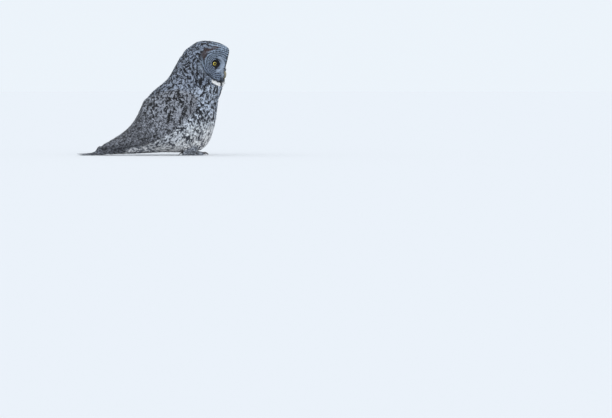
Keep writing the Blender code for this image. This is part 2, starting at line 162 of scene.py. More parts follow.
def mesh_object(name: str, bm: bmesh.types.BMesh, material: bpy.types.Material) -> bpy.types.Object:
    """Makes a smooth-shaded object.

    Args:
        name: Name of the object.
        bm: Its mesh, which is freed.
        material: Its material.

    Returns:
        The object.
    """
    mesh = bpy.data.meshes.new(name)
    bm.to_mesh(mesh)
    bm.free()
    mesh.shade_smooth()
    mesh.materials.append(material)
    return add_object(name, mesh)


def join_rings(bm: bmesh.types.BMesh, rings: list[list[bmesh.types.BMVert]]) -> None:
    """Adds the faces between each ring of corners and the next.

    Args:
        bm: The mesh.
        rings: The rings, with the same number of corners each.
    """
    for near, far in zip(rings, rings[1:]):
        for k, corner in enumerate(near):
            after = (k + 1) % len(near)
            bm.faces.new((corner, near[after], far[after], far[k]))


@dataclass(frozen=True)
class BirdFrame:
    """Axes of the bird and of its turned head."""

    centre_forward: float = -0.1506
    head_place: tuple[float, float, float] = (0.050, 0.0, 0.368)
    head_turn: float = math.radians(-27.0)
    head_nod: float = math.radians(14.0)

    def place(self, forward: float, side: float, up: float) -> Vector:
        """Gives a point of the bird in the row frame."""
        return Vector((side, self.centre_forward - forward, up))

    def forward(self, points: Array) -> Array:
        """Gives how far forward of the legs each point lies."""
        return self.centre_forward - points[:, 1]

    @property
    def head_matrix(self) -> Matrix:
        """Works out where the head's axes lie.

        Returns:
            The matrix from side, -forward and up in the head's axes to the row frame.
        """
        turn = Matrix.Rotation(self.head_turn, 4, "Z")
        nod = Matrix.Rotation(self.head_nod, 4, "X")
        return Matrix.Translation(self.place(*self.head_place)) @ turn @ nod

    def from_head(self, forward: float, side: float, up: float) -> Vector:
        """Gives a point of the head in the row frame."""
        return self.head_matrix @ Vector((side, -forward, up))

    def to_head(self, points: Array) -> tuple[Array, Array, Array]:
        """Measures points in the head's axes.

        Args:
            points: Rows of points in the row frame.

        Returns:
            How far forward, to the left side and up each lies from the middle of the skull.
        """
        inverse = np.array(self.head_matrix.inverted())
        local = points @ inverse[:3, :3].T + inverse[:3, 3]
        return -local[:, 1], local[:, 0], local[:, 2]


BIRD = BirdFrame()


@dataclass(frozen=True)
class Face:
    """Sizes of the facial disc and the eyes, in the head's axes."""

    half_width: float = 0.086
    half_height: float = 0.072
    brow_height: float = 0.084
    raise_up: float = 0.016
    eye_side: float = 0.030
    eye_up: float = 0.016
    eye_radius: float = 0.0125
    eye_opening: float = 0.0078
    eye_outward: float = math.radians(29.0)
    eye_depth: float = 0.0689
    angle_height: float = 0.078

    def reach(self, side: Array, up: Array) -> Array:
        """Measures how far out on the disc places lie.

        Args:
            side: Distances to the side.
            up: Distances up.

        Returns:
            Shares of the way from the disc's middle to its rim.
        """
        rise = up - self.raise_up
        height = np.where(rise > 0, self.brow_height, self.half_height)
        drawn_in = 1 + 0.055 * ease(up, -0.030, -0.052)
        return np.hypot(side / self.half_width, rise / height) * drawn_in

    def angle(self, side: Array, up: Array) -> Array:
        """Gives the angle round the disc from its top, in degrees."""
        rise = (up - self.raise_up) / self.angle_height
        return np.degrees(np.arctan2(np.abs(side) / self.half_width, rise))

    def from_eye(self, side: Array, up: Array) -> tuple[Array, Array]:
        """Gives the distances outward and up from the nearer eye."""
        return np.abs(side) - self.eye_side, up - self.eye_up

    def eye_centre(self, sign: int) -> Vector:
        """Works out the middle of one eyeball.

        Args:
            sign: Side of the head, 1 for the left.

        Returns:
            The middle in the head's axes, as forward, side and up.
        """
        depth = math.sqrt(self.eye_radius**2 - self.eye_opening**2)
        forward = self.eye_depth - depth * math.cos(self.eye_outward)
        side = self.eye_side - depth * math.sin(self.eye_outward)
        return Vector((forward, sign * side, self.eye_up))

    def gaze(self, sign: int) -> Vector:
        """Direction in which one eye looks, in the head's axes, as side, -forward and up."""
        return Vector((sign * math.sin(self.eye_outward), -math.cos(self.eye_outward), 0.0))


FACE = Face()


class Region(Enum):
    """Parts of the plumage, by the solids that they cover."""

    HEAD = ("head",)
    DISC = ("facial_disc",)
    NECK = ("neck",)
    TRUNK = ("trunk",)
    COVERTS = ("wing_coverts_left", "wing_coverts_right")
    SECONDARIES = ("secondaries_left", "secondaries_right")
    PRIMARIES = ("primaries_left", "primaries_right")
    UNDERTAIL = ("undertail_coverts",)
    LEG = ("leg_left", "leg_right")
    FOOT = ("foot_left", "foot_right")
    TAIL = ("tail",)


REGIONS = list(Region)
HEAD_REGIONS = (Region.HEAD, Region.DISC)
LEG_REGIONS = (Region.LEG, Region.FOOT)
WING_REGIONS = (Region.COVERTS, Region.SECONDARIES, Region.PRIMARIES)


@dataclass
class Surface:
    """One closed shape over several solids, with values at each of its corners."""

    nodes: dict[str, bpy.types.Object]
    voxel: float
    smoothing: int
    covers: list[Region]
    points: Array = field(init=False)
    normals: Array = field(init=False)
    triangles: Array = field(init=False)
    weights: Array = field(init=False)
    flow: Array = field(init=False)
    lay: Array = field(init=False)
    tree: BVHTree = field(init=False)

    def __post_init__(self) -> None:
        """Joins the solids and measures the result."""
        obj = self._joined()
        mesh = obj.data
        mesh.calc_loop_triangles()
        self.points = np.empty(len(mesh.vertices) * 3)
        mesh.vertices.foreach_get("co", self.points)
        self.points = self.points.reshape(-1, 3)
        triangles = np.empty(len(mesh.loop_triangles) * 3, np.int32)
        mesh.loop_triangles.foreach_get("vertices", triangles)
        self.triangles = triangles.reshape(-1, 3)
        bpy.data.objects.remove(obj)
        self._keep_largest()
        self.remeasure()
        self.weights = self._labels()

    def _joined(self) -> bpy.types.Object:
        """Joins the solids with a voxel remesh and smooths the seams away.

        Returns:
            The joined object.
        """
        bm = bmesh.new()
        for region in self.covers:
            for name in region.value:
                bm.from_mesh(self.nodes[name].data)
        bmesh.ops.remove_doubles(bm, verts=bm.verts, dist=1e-6)
        mesh = bpy.data.meshes.new("joined")
        bm.to_mesh(mesh)
        bm.free()
        obj = add_object("joined", mesh)
        remesh = obj.modifiers.new("join", "REMESH")
        remesh.mode = "VOXEL"
        remesh.voxel_size = self.voxel
        smooth = obj.modifiers.new("smooth", "SMOOTH")
        smooth.factor = 0.5
        smooth.iterations = self.smoothing
        bpy.context.view_layer.update()
        graph = bpy.context.evaluated_depsgraph_get()
        obj.data = bpy.data.meshes.new_from_object(obj.evaluated_get(graph))
        obj.modifiers.clear()
        return obj

    def _keep_largest(self) -> None:
        """Drops small shapes that the remesh left inside the large one."""
        group = np.arange(len(self.points))
        while True:
            least = group[self.triangles].min(1)
            before = group.copy()
            for corner in range(3):
                np.minimum.at(group, self.triangles[:, corner], least)
            group = group[group]
            if (group == before).all():
                break
        labels, counts = np.unique(group, return_counts=True)
        keep = group == labels[counts.argmax()]
        index = np.cumsum(keep) - 1
        self.triangles = index[self.triangles[keep[self.triangles[:, 0]]]]
        self.points = self.points[keep]

    def remeasure(self) -> None:
        """Works out the normals and the search tree after the points have changed."""
        corner = self.points[self.triangles]
        face = np.cross(corner[:, 1] - corner[:, 0], corner[:, 2] - corner[:, 0])
        total = np.zeros_like(self.points)
        for k in range(3):
            for axis in range(3):
                total[:, axis] += np.bincount(
                    self.triangles[:, k], face[:, axis], len(self.points)
                )
        self.normals = unit(total)
        self.lay = unit(self.spread(self.normals, 8))
        self.tree = BVHTree.FromPolygons(self.points.tolist(), self.triangles.tolist())

    def spread(self, values: Array, passes: int) -> Array:
        """Evens out values between neighbouring corners.

        Args:
            values: One row of values for each corner.
            passes: How often to average.

        Returns:
            The evened values.
        """
        first = self.triangles.ravel()
        second = np.roll(self.triangles, 1, axis=1).ravel()
        count = np.bincount(first, minlength=len(self.points))[:, None]
        for _ in range(passes):
            total = np.stack(
                [
                    np.bincount(first, values[second, k], len(self.points))
                    for k in range(values.shape[1])
                ],
                axis=1,
            )
            values = 0.5 * values + 0.5 * total / count
        return values

    def soften(self) -> None:
        """Rounds the disc's edge and ridge and the seams of the folded wings."""
        forward, side, up = BIRD.to_head(self.points)
        reach = np.hypot(side / FACE.half_width, (up - FACE.raise_up) / 0.074)
        front = ease(forward, 0.020, 0.045)
        rim = bell(reach, 1.0, 0.13) * front * (0.35 + 0.65 * ease(up, 0.0, 0.05))
        ridge = bell(side, 0.0, 0.012) * front * ease(up, -0.02, 0.01) * 0.8
        shares = (self.share(*WING_REGIONS), self.share(*HEAD_REGIONS))
        seam = np.stack([4 * share * (1 - share) for share in shares], axis=1)
        seam = self.spread(seam, 24) * (7.0, 4.0)
        seam[:, 0] *= ease(self.points[:, 2], 0.06, 0.11)
        seam[:, 1] *= ease(reach, 1.06, 1.14)
        weight = np.clip(np.maximum(np.maximum(rim, ridge), seam.max(1)), 0, 1)
        for _ in range(60):
            self.points = blended(self.points, self.spread(self.points, 1), weight)
        self.remeasure()
        self._fill_out()

    def _fill_out(self) -> None:
        """Fills out the brow, the ridge and the throat, and lowers the back of the crown."""
        forward, side, up = BIRD.to_head(self.points)
        brow = bell(side, 0.0, 0.060) * bell(forward, 0.046, 0.028) * ease(up, 0.050, 0.080)
        ridge = bell(side, 0.0, 0.014) * ease(forward, 0.06, 0.08) * ease(up, -0.050, -0.020)
        ridge *= ease(up, 0.105, 0.080)
        body = self.share(Region.NECK, Region.TRUNK)
        body += (1 - np.clip(body, 0, 1)) * ease(FACE.reach(side, up), 1.0, 1.06)
        throat = bell(self.points[:, 2], 0.284, 0.014) * bell(self.points[:, 0], -0.020, 0.055)
        throat *= ease(-self.normals[:, 1], 0.0, 0.5) * self.spread(body[:, None], 3)[:, 0]
        matrix = np.array(BIRD.head_matrix.to_3x3())
        self.points = self.points + matrix[:, 2] * (0.0060 * brow)[:, None]
        self.points = self.points - matrix[:, 1] * (0.0095 * ridge)[:, None]
        self.points[:, 1] -= 0.0140 * throat
        flat = bell(BIRD.forward(self.points), -0.002, 0.021) * ease(self.points[:, 2], 0.37, 0.42)
        self.points[:, 2] -= 0.0048 * flat
        near = np.clip(4 * self.spread(throat[:, None], 4)[:, 0], 0, 1)
        for _ in range(6):
            self.points = blended(self.points, self.spread(self.points, 1), near)
        self.remeasure()

    def cast(self, flat: Array, sign: int) -> tuple[Array, Array]:
        """Finds the outside of the body beside places seen from the side.

        Args:
            flat: Rows of forward and up.
            sign: Side of the body, 1 for the left.

        Returns:
            The places on the surface, and for each the number of a corner beside it.
        """
        places = np.empty((len(flat), 3))
        for row, (forward, up) in enumerate(flat.tolist()):
            start = BIRD.place(forward, sign * 0.4, up)
            spot = self.tree.ray_cast(start, Vector((-sign, 0.0, 0.0)))[0]
            if spot is None:
                spot = self.tree.find_nearest(BIRD.place(forward, sign * 0.05, up))[0]
            places[row] = spot
        return self.nearest(places)

    def _labels(self) -> Array:
        """Finds the nearest region of each corner, softened at the seams.

        Returns:
            Shares of the regions at each corner.
        """
        corners: list[tuple[float, float, float]] = []
        faces: list[list[int]] = []
        region_of: list[int] = []
        for index, region in enumerate(REGIONS):
            for name in region.value:
                mesh = self.nodes[name].data
                start = len(corners)
                corners += [v.co[:] for v in mesh.vertices]
                mesh.calc_loop_triangles()
                faces += [[start + k for k in t.vertices] for t in mesh.loop_triangles]
                region_of += [index] * len(mesh.loop_triangles)
        tree = BVHTree.FromPolygons(corners, faces)
        labels = np.zeros((len(self.points), len(REGIONS)))
        for row, point in enumerate(self.points):
            labels[row, region_of[tree.find_nearest(point)[2]]] = 1.0
        return self.spread(labels, 4)

    def share(self, *regions: Region) -> Array:
        """Share of some regions at each corner."""
        return sum(self.weights[:, REGIONS.index(region)] for region in regions)

    def facing(self) -> Array:
        """How far each corner faces forward and down."""
        return -self.normals[:, 1] * 0.9 - self.normals[:, 2] * 0.45

    def on_face(self, limit: float) -> Array:
        """Finds the corners on the facial disc.

        Args:
            limit: Share of the way to the rim where it ends.

        Returns:
            True for each corner that lies on it.
        """
        forward, side, up = BIRD.to_head(self.points)
        inside = (FACE.reach(side, up) < limit) & (forward > 0.034)
        return inside & (self.share(*HEAD_REGIONS) > 0.3)

    def nearest(self, points: Array) -> tuple[Array, Array]:
        """Finds the closest places on the surface.

        Args:
            points: Rows of points.

        Returns:
            The places, and for each the number of a corner beside it.
        """
        places = np.empty_like(points)
        faces = np.empty(len(points), np.int64)
        for row, point in enumerate(points.tolist()):
            spot, _, face, _ = self.tree.find_nearest(point)
            places[row] = spot
            faces[row] = face
        corners = self.triangles[faces]
        gap = np.linalg.norm(self.points[corners] - places[:, None], axis=2)
        return places, corners[np.arange(len(points)), gap.argmin(1)]

    def offset(self, depth: Array) -> None:
        """Moves each corner inward and evens the result a little.

        Args:
            depth: How far each corner moves.
        """
        self.points = self.points - self.normals * depth[:, None]
        self.points = self.spread(self.points, 2)
        self.points[:, 2] = np.maximum(self.points[:, 2], FLOOR_CLEARANCE)
        self.remeasure()

    def as_object(self, name: str) -> bpy.types.Object:
        """Makes a smooth-shaded mesh object of the surface.

        Args:
            name: Name of the object.

        Returns:
            The object.
        """
        mesh = bpy.data.meshes.new(name)
        mesh.from_pydata(self.points.tolist(), [], self.triangles.tolist())
        mesh.shade_smooth()
        return add_object(name, mesh)


@dataclass(frozen=True)
class WingPlan:
    """Net of lines along the folded wing, seen from the side."""

    upper: tuple[tuple[float, float], ...] = (
        (-0.010, 0.262),
        (-0.085, 0.262),
        (-0.160, 0.240),
        (-0.196, 0.185),
        (-0.220, 0.135),
        (-0.258, 0.094),
        (-0.320, 0.053),
        (-0.362, 0.024),
    )
    lower: tuple[tuple[float, float], ...] = (
        (0.040, 0.205),
        (-0.010, 0.145),
        (-0.064, 0.100),
        (-0.120, 0.068),
        (-0.180, 0.046),
        (-0.250, 0.030),
        (-0.362, 0.008),
    )
    steps: int = 81
    lines: int = 25

    @staticmethod
    def _resampled(line: tuple[tuple[float, float], ...], shares: Array) -> Array:
        """Finds places on a line.

        Args:
            line: Corners of the line, as (forward, up).
            shares: Shares of its length.

        Returns:
            The places at those shares.
        """
        spots = np.array(line)
        run = np.concatenate([[0], np.cumsum(np.linalg.norm(np.diff(spots, axis=0), axis=1))])
        return np.stack([np.interp(shares * run[-1], run, spots[:, k]) for k in range(2)], 1)

    def spot(self, along: Array, across: Array) -> Array:
        """Gives (forward, up) at shares of the way along the wing and from its upper edge."""
        upper, lower = (self._resampled(line, along) for line in (self.upper, self.lower))
        return blended(upper, lower, across)

    def find(self, points: Array) -> tuple[Array, Array, Array]:
        """Finds where points lie on the net.

        Args:
            points: Rows of points in the row frame.

        Returns:
            Shares along and across, and the (forward, up) direction of the lines there.
        """
        along = np.repeat(np.linspace(0, 1, self.steps), self.lines)
        across = np.tile(np.linspace(0, 1, self.lines), self.steps)
        net = self.spot(along, across)
        ahead = self.spot(np.clip(along + 0.03, 0, 1), across)
        behind = self.spot(np.clip(along - 0.03, 0, 1), across)
        ways = unit(ahead - behind)
        tree = KDTree(len(net))
        for row, (forward, up) in enumerate(net.tolist()):
            tree.insert((forward, up, 0.0), row)
        tree.balance()
        forwards = BIRD.forward(points).tolist()
        found = [tree.find((f, u, 0.0))[1] for f, u in zip(forwards, points[:, 2].tolist())]
        return along[found], across[found], ways[found]


WING = WingPlan()


@dataclass(frozen=True)
class Lie:
    """Which way the feathers point over the body, as (forward, up) directions."""

    axis: tuple[tuple[float, float], ...] = (
        (0.026, 0.400),
        (0.022, 0.300),
        (-0.008, 0.245),
        (-0.043, 0.168),
        (-0.068, 0.083),
        (-0.138, 0.043),
        (-0.240, 0.030),
        (-0.450, 0.008),
    )

    def along_body(self, points: Array) -> Array:
        """Finds the direction of the nearest stretch of the body's middle line.

        Args:
            points: Rows of points in the row frame.

        Returns:
            Directions in the row frame.
        """
        flat = np.stack([BIRD.forward(points), points[:, 2]], axis=1)
        line = np.array(self.axis)
        start, step = line[:-1], np.diff(line, axis=0)
        total = np.zeros((len(points), 2))
        for origin, run in zip(start, step):
            share = np.clip(((flat - origin) @ run) / (run @ run), 0, 1)
            gap = np.linalg.norm(flat - origin - share[:, None] * run, axis=1)
            weight = 1 / (gap**4 + 1e-8)
            total += weight[:, None] * run / np.linalg.norm(run)
        return self._in_space(total)

    def unrolled(self, points: Array, stretch: Array) -> Array:
        """Lays points out along the body's middle line, for a pattern that runs with the feathers.

        Args:
            points: Rows of points in the row frame.
            stretch: How many times longer than wide the pattern is, for each point.

        Returns:
            Rows of the side, the distance off the middle line and the shortened way along it.
        """
        flat = np.stack([BIRD.forward(points), points[:, 2]], axis=1)
        line = np.array(((0.03, 0.60), *self.axis))
        before = 0.0
        total, run, off = (np.zeros(len(points)) for _ in range(3))
        for origin, step in zip(line[:-1], np.diff(line, axis=0)):
            size = np.linalg.norm(step)
            way = step / size
            part = (flat - origin) @ way
            aside = (flat - origin) @ (way[1], -way[0])
            near = np.clip(part, 0, size)
            weight = 1 / ((aside**2 + (part - near) ** 2) ** 2 + 1e-8)
            total += weight
            run += weight * (before + near)
            off += weight * aside
            before += size
        return np.stack([points[:, 0], off / total, run / total / stretch], axis=1)

    def along_wing(self, points: Array) -> Array:
        """Direction of the feathers on the folded wing."""
        return self._in_space(WING.find(points)[2])

    @staticmethod
    def _in_space(flat: Array) -> Array:
        """Turns (forward, up) directions into directions in the row frame."""
        return unit(np.stack([np.zeros(len(flat)), -flat[:, 0], flat[:, 1]], axis=1))

    @staticmethod
    def over_head(points: Array) -> Array:
        """Combs the head: back from the face and then down to the neck.

        Args:
            points: Rows of points in the row frame.

        Returns:
            Directions in the row frame.
        """
        matrix = np.array(BIRD.head_matrix)
        forward, _, up = BIRD.to_head(points)
        backward = matrix[:3, 1]
        down = unit(np.array([[0.0, 0.55, -1.0]]))[0]
        turn = np.maximum(ease(forward, 0.05, -0.07), ease(up, -0.015, -0.045))[:, None]
        return unit(backward * (1.15 - turn) + down * (0.25 + turn))

    @staticmethod
    def over_face(points: Array) -> Array:
        """Combs the facial disc: straight out from the nearer eye.

        Args:
            points: Rows of points in the row frame.

        Returns:
            Directions in the row frame.
        """
        matrix = np.array(BIRD.head_matrix)
        _, side, up = BIRD.to_head(points)
        out, rise = FACE.from_eye(side, up)
        local = np.stack([np.sign(side) * out, np.zeros(len(out)), rise], axis=1)
        return unit(local @ matrix[:3, :3].T)

    def comb(self, surface: Surface) -> None:
        """Works out the lie at each corner of the surface and keeps it there.

        Args:
            surface: The surface that the feathers are laid on.
        """
        points, normals = surface.points, surface.normals
        wing, head = surface.share(*WING_REGIONS), surface.share(Region.HEAD)
        disc, leg, foot = (surface.share(r) for r in (Region.DISC, *LEG_REGIONS))
        lies = (
            (self.along_body(points), np.clip(1 - wing - head - disc - leg - foot, 0, 1)),
            (self.along_wing(points), wing),
            (self.over_head(points), head + disc),
            (np.array([[0.0, 0.12, -1.0]]), leg),
            (self._along_toes(points), foot),
        )
        flow = flattened(sum(way * share[:, None] for way, share in lies), normals)
        for _ in range(6):
            flow = flattened(surface.spread(flow, 2), normals)
        forward, side, up = BIRD.to_head(points)
        on_face = ease(FACE.reach(side, up), 1.0, 0.93) * ease(forward, 0.030, 0.040)
        face_flow = flattened(self.over_face(points), normals)
        surface.flow = unit(blended(flow, face_flow, on_face))

    @staticmethod
    def _along_toes(points: Array) -> Array:
        """Combs the feet: away from the ankle of the nearer one.

        Args:
            points: Rows of points in the row frame.

        Returns:
            Directions in the row frame.
        """
        away = points - np.array(BIRD.place(ANKLE_FORWARD, 0.0, 0.0))
        away[:, 0] = points[:, 0] - np.sign(points[:, 0]) * ANKLE_SIDE
        away[:, 2] = -0.3 * np.linalg.norm(away[:, :2], axis=1)
        return unit(away)


LIE = Lie()


@dataclass(frozen=True)
class Tone:
    """Light and dark colour of a region and how strongly its feathers are marked."""

    pale: Colour
    dark: Colour
    streak: float
    bars: float
    mottle: float
    scale: float
    stretch: float
    light: float = 0.0
    patch: float = 0.99

    def row(self) -> list[float]:
        """Gives all values as one list."""
        return [*self.pale, *self.dark, *astuple(self)[2:]]


PALE, DARK, MARKS = slice(0, 3), slice(3, 6), slice(6, 9)
SCALE, STRETCH, LIGHT, PATCH = range(9, 13)


@dataclass
class Paint:
    """Colours and marks at some points."""

    pale: Array
    dark: Array
    marks: Array

    def repeated(self, count: int) -> Paint:
        """Repeats each row, for the corners of each feather."""
        return Paint(*(np.repeat(x, count, axis=0) for x in (self.pale, self.dark, self.marks)))


@dataclass(frozen=True)
class Markings:
    """The plumage's pattern, the same for skin and feathers."""

    crown: Tone = Tone(srgb(174, 187, 209), srgb(6, 8, 13), 0.2, 0.3, 0.4, 0.0059, 1.2, -0.035)
    nape: Tone = Tone(srgb(182, 193, 213), srgb(7, 9, 15), 0.3, 0.3, 0.4, 0.0060, 1.3, -0.04)
    throat: Tone = Tone(srgb(158, 171, 193), srgb(8, 11, 18), 0.4, 0.3, 0.4, 0.0058, 1.6, -0.08)
    breast: Tone = Tone(srgb(212, 224, 242), srgb(10, 13, 21), 0.5, 0.2, 0.3, 0.0058, 2.6, -0.04)
    belly: Tone = Tone(
        srgb(255, 255, 255), srgb(56, 61, 75), 0.3, 0.4, 0.3, 0.0060, 2.4, 0.085, 0.95
    )
    flank: Tone = Tone(
        srgb(246, 250, 255), srgb(28, 33, 46), 0.4, 0.4, 0.3, 0.0062, 2.2, 0.01, 0.97
    )
    mantle: Tone = Tone(srgb(160, 169, 188), srgb(8, 10, 16), 0.3, 0.3, 0.4, 0.0060, 1.6, -0.04)
    wing: Tone = Tone(srgb(186, 191, 203), srgb(8, 9, 13), 0.3, 0.5, 0.4, 0.0062, 1.5, -0.025)
    flight: Tone = Tone(
        srgb(140, 143, 152), srgb(14, 14, 19), 0.4, 0.8, 0.4, 0.0068, 1.8, 0.0, 0.92
    )
    undertail: Tone = Tone(
        srgb(250, 252, 255), srgb(70, 76, 92), 0.3, 0.5, 0.3, 0.0074, 1.6, 0.0, 0.85
    )
    tail: Tone = Tone(srgb(118, 123, 134), srgb(18, 19, 26), 0.1, 0.9, 0.4, 0.0120, 3.0, 0.0, 0.30)
    leg: Tone = Tone(srgb(206, 212, 222), srgb(60, 66, 78), 0.1, 0.6, 0.4, 0.0052, 1.2, 0.0, 0.70)
    disc_upper: Tone = Tone(srgb(168, 186, 208), srgb(14, 21, 34), 0.0, 0.0, 0.2, 0.006, 1.0)
    disc_lower: Tone = Tone(srgb(146, 162, 186), srgb(13, 19, 32), 0.0, 0.0, 0.2, 0.006, 1.0)
    white: Colour = srgb(188, 202, 220)
    bow: Colour = srgb(255, 255, 255)
    black: Colour = srgb(16, 18, 25)
    rufous: Colour = srgb(66, 46, 41)
    ring_gap: float = 0.0076
    ring_start: float = 0.0150

    def tones(self, surface: Surface) -> Array:
        """Mixes the tones of the regions at each corner.

        Args:
            surface: The surface with its region shares.

        Returns:
            One row of tone values for each corner.
        """
        points = surface.points
        front = ease(surface.facing(), -0.35, 0.30)
        low = ease(points[:, 2], 0.20, 0.05)
        lateral = ease(np.abs(surface.normals[:, 0]), 0.45, 0.9)
        trunk, neck = surface.share(Region.TRUNK), surface.share(Region.NECK)
        wing = surface.share(Region.COVERTS, Region.SECONDARIES)
        along, across, _ = WING.find(points)
        folded = np.maximum(ease(along, 0.42, 0.62), ease(across, 0.60, 0.95) * 0.4)
        shares = (
            (trunk * (1 - front), self.mantle),
            (trunk * front * (1 - low), self.breast),
            (trunk * front * low * (1 - lateral), self.belly),
            (trunk * front * low * lateral, self.flank),
            (neck * (1 - front), self.nape),
            (neck * front, self.throat),
            (surface.share(*HEAD_REGIONS), self.crown),
            (wing * (1 - folded), self.wing),
            (wing * folded + surface.share(Region.PRIMARIES), self.flight),
            (surface.share(Region.UNDERTAIL), self.undertail),
            (surface.share(*LEG_REGIONS), self.leg),
            (surface.share(Region.TAIL), self.tail),
        )
        rows = sum(weight[:, None] * np.array(tone.row()) for weight, tone in shares)
        return rows / surface.weights.sum(1, keepdims=True)

    @staticmethod
    def _laid(shown: Array, *layers: tuple[Array, Colour]) -> Array:
        """Lays colours over others, one after the other.

        Args:
            shown: Rows of colours.
            layers: For each layer a mask, which is one where it covers, and its colour.

        Returns:
            The colours with the layers over them.
        """
        for mask, colour in layers:
            shown = blended(shown, np.array(colour), np.clip(mask, 0, 1))
        return shown

    def paint(self, tones: Array, points: Array, chance: Array) -> Paint:
        """Paints points of the body.

        Args:
            tones: One row of tone values for each point.
            points: Where the points lie.
            chance: A random number from 0 to 1 for each point.

        Returns:
            The colours and marks.
        """
        pale, dark, marks = tones[:, PALE], tones[:, DARK], tones[:, MARKS].copy()
        laid = LIE.unrolled(points, tones[:, STRETCH]) / tones[:, SCALE, None]
        wave = np.sin(2 * math.pi * (laid[:, 2] / 2.4 + 2.2 * value_noise(laid / 1.7, 7.0)))
        fine = value_noise(points / 0.0030, 3.0)
        mixed = 0.42 * value_noise(laid) + 0.13 * (1 + wave) + 0.16 * fine + 0.16 * chance
        blotch = 0.05 + 0.30 * (value_noise(points / 0.010, 5.0) - 0.5)
        mixed += blotch * self._on_shoulder(points) + tones[:, LIGHT]
        patch = ease(mixed, 0.545, 0.455) * tones[:, PATCH]
        shown = blended(pale, dark, patch) * (0.88 + 0.24 * chance[:, None])
        marks *= (1 - 0.5 * patch)[:, None]
        return self._round_face(Paint(shown, dark, marks), points)

    @staticmethod
    def _on_shoulder(points: Array) -> Array:
        """Finds the pale blotches between neck, breast and wing.

        Args:
            points: Where the points lie.

        Returns:
            Share of the blotches at each point.
        """
        forward, up = BIRD.forward(points), points[:, 2]
        along = (0.285 - up) / 0.11
        gap = forward - (0.012 + 0.050 * along)
        return bell(gap, 0.0, 0.026) * ease(along, -0.10, 0.12) * ease(along, 1.15, 0.85)

    def _round_face(self, paint: Paint, points: Array) -> Paint:
        """Adds the white bow, the black chin and the dark rim of the disc with its brown patches.

        Args:
            paint: Colours and marks without them.
            points: Where the points lie.

        Returns:
            The colours and marks.
        """
        forward, side, up = BIRD.to_head(points)
        reach, width = FACE.reach(side, up), np.abs(side)
        front = ease(forward, 0.020, 0.045)
        below = ease(reach, 0.960, 0.980) * ease(reach, 1.27, 1.22) * front * ease(up, -0.02, -0.03)
        white = below * ease(width, 0.005, 0.008) * ease(width, 0.056, 0.046)
        black = below * ease(width, 0.0075, 0.0050)
        beside = bell(FACE.angle(side, up), 104, 20)
        rim = bell(reach, 1.01, 0.035) * front * 0.9 * (1 - white) * (1 - 0.75 * beside)
        cheek = bell(reach, 1.06, 0.030) * front * beside * 0.65
        shown = self._laid(
            paint.pale,
            (cheek, self.white),
            (rim, self.black),
            (self.brown(side, up) * front, self.rufous),
            (white, self.bow),
            (black, self.black),
        )
        dark = self._laid(paint.dark, (white * 0.85, self.white))
        return Paint(shown, dark, paint.marks * (1 - white)[:, None])

    @staticmethod
    def brown(side: Array, up: Array) -> Array:
        """Finds the brown patches on the upper rim of the disc.

        Args:
            side: Distances to the side.
            up: Distances up.

        Returns:
            Share of the patches at each place.
        """
        angle = FACE.angle(side, up)
        band = ease(angle, 14, 26) * ease(angle, 88, 74)
        middle = 0.905 + 0.060 * ease(angle, 25, 70)
        return band * bell(FACE.reach(side, up) - middle, 0.0, 0.033)

    def paint_face(self, points: Array, chance: Array) -> Paint:
        """Paints points of the facial disc with rings round each eye.

        Args:
            points: Where the points lie.
            chance: A random number from 0 to 1 for each point.

        Returns:
            The colours and marks.
        """
        _, side, up = BIRD.to_head(points)
        out, rise = FACE.from_eye(side, up)
        distance, width = np.hypot(out, rise), np.abs(side)
        inward = -out / np.maximum(distance, 1e-6)
        high = ease(up, -0.012, 0.022)
        tones = blended(np.array(self.disc_lower.row()), np.array(self.disc_upper.row()), high)
        wobble = value_noise(points / 0.009, 9.0) - 0.5
        phase = (distance - self.ring_start) / self.ring_gap + 0.28 * wobble
        ring = ease(np.cos(2 * math.pi * phase) + 0.3 * (chance - 0.5), -0.15, 0.35) * 0.95
        shown = blended(tones[:, PALE], tones[:, DARK], ring) * (0.90 + 0.20 * chance[:, None])
        oval = np.hypot(out / 0.0215, rise / 0.031)
        crescent = 1.1 * bell(oval, 1.04, 0.15) * ease(inward, 0.05, 0.40)
        middle = bell(width, 0.0085, 0.0036) * ease(rise, -0.040, -0.026) * ease(rise, 0.030, 0.008)
        socket = ease(oval, 0.84, 0.68) * ease(inward, -0.20, 0.25)
        reach, beside = FACE.reach(side, up), bell(FACE.angle(side, up), 104, 20)
        shown = self._laid(
            shown,
            (np.maximum(crescent, 0.6 * middle), self.white),
            (np.maximum(socket, ease(distance, 0.0165, 0.0125)), self.black),
            (ease(width, 0.0042, 0.0020) * ease(rise, 0.070, 0.045) * 0.85, self.black),
            (bell(width, 0.0, 0.009) * bell(up, -0.030, 0.014) * 0.55, self.rufous),
            (ease(width, 0.010, 0.005) * ease(up, -0.040, -0.047), self.black),
            (ease(reach, 0.935, 0.985) * (0.8 - 0.6 * beside), self.black),
            (self.brown(side, up) * (0.7 + 0.3 * chance), self.rufous),
        )
        marks = tones[:, MARKS] * (1 - np.clip(socket, 0, 1)[:, None])
        return Paint(shown, shown * 0.62, marks)


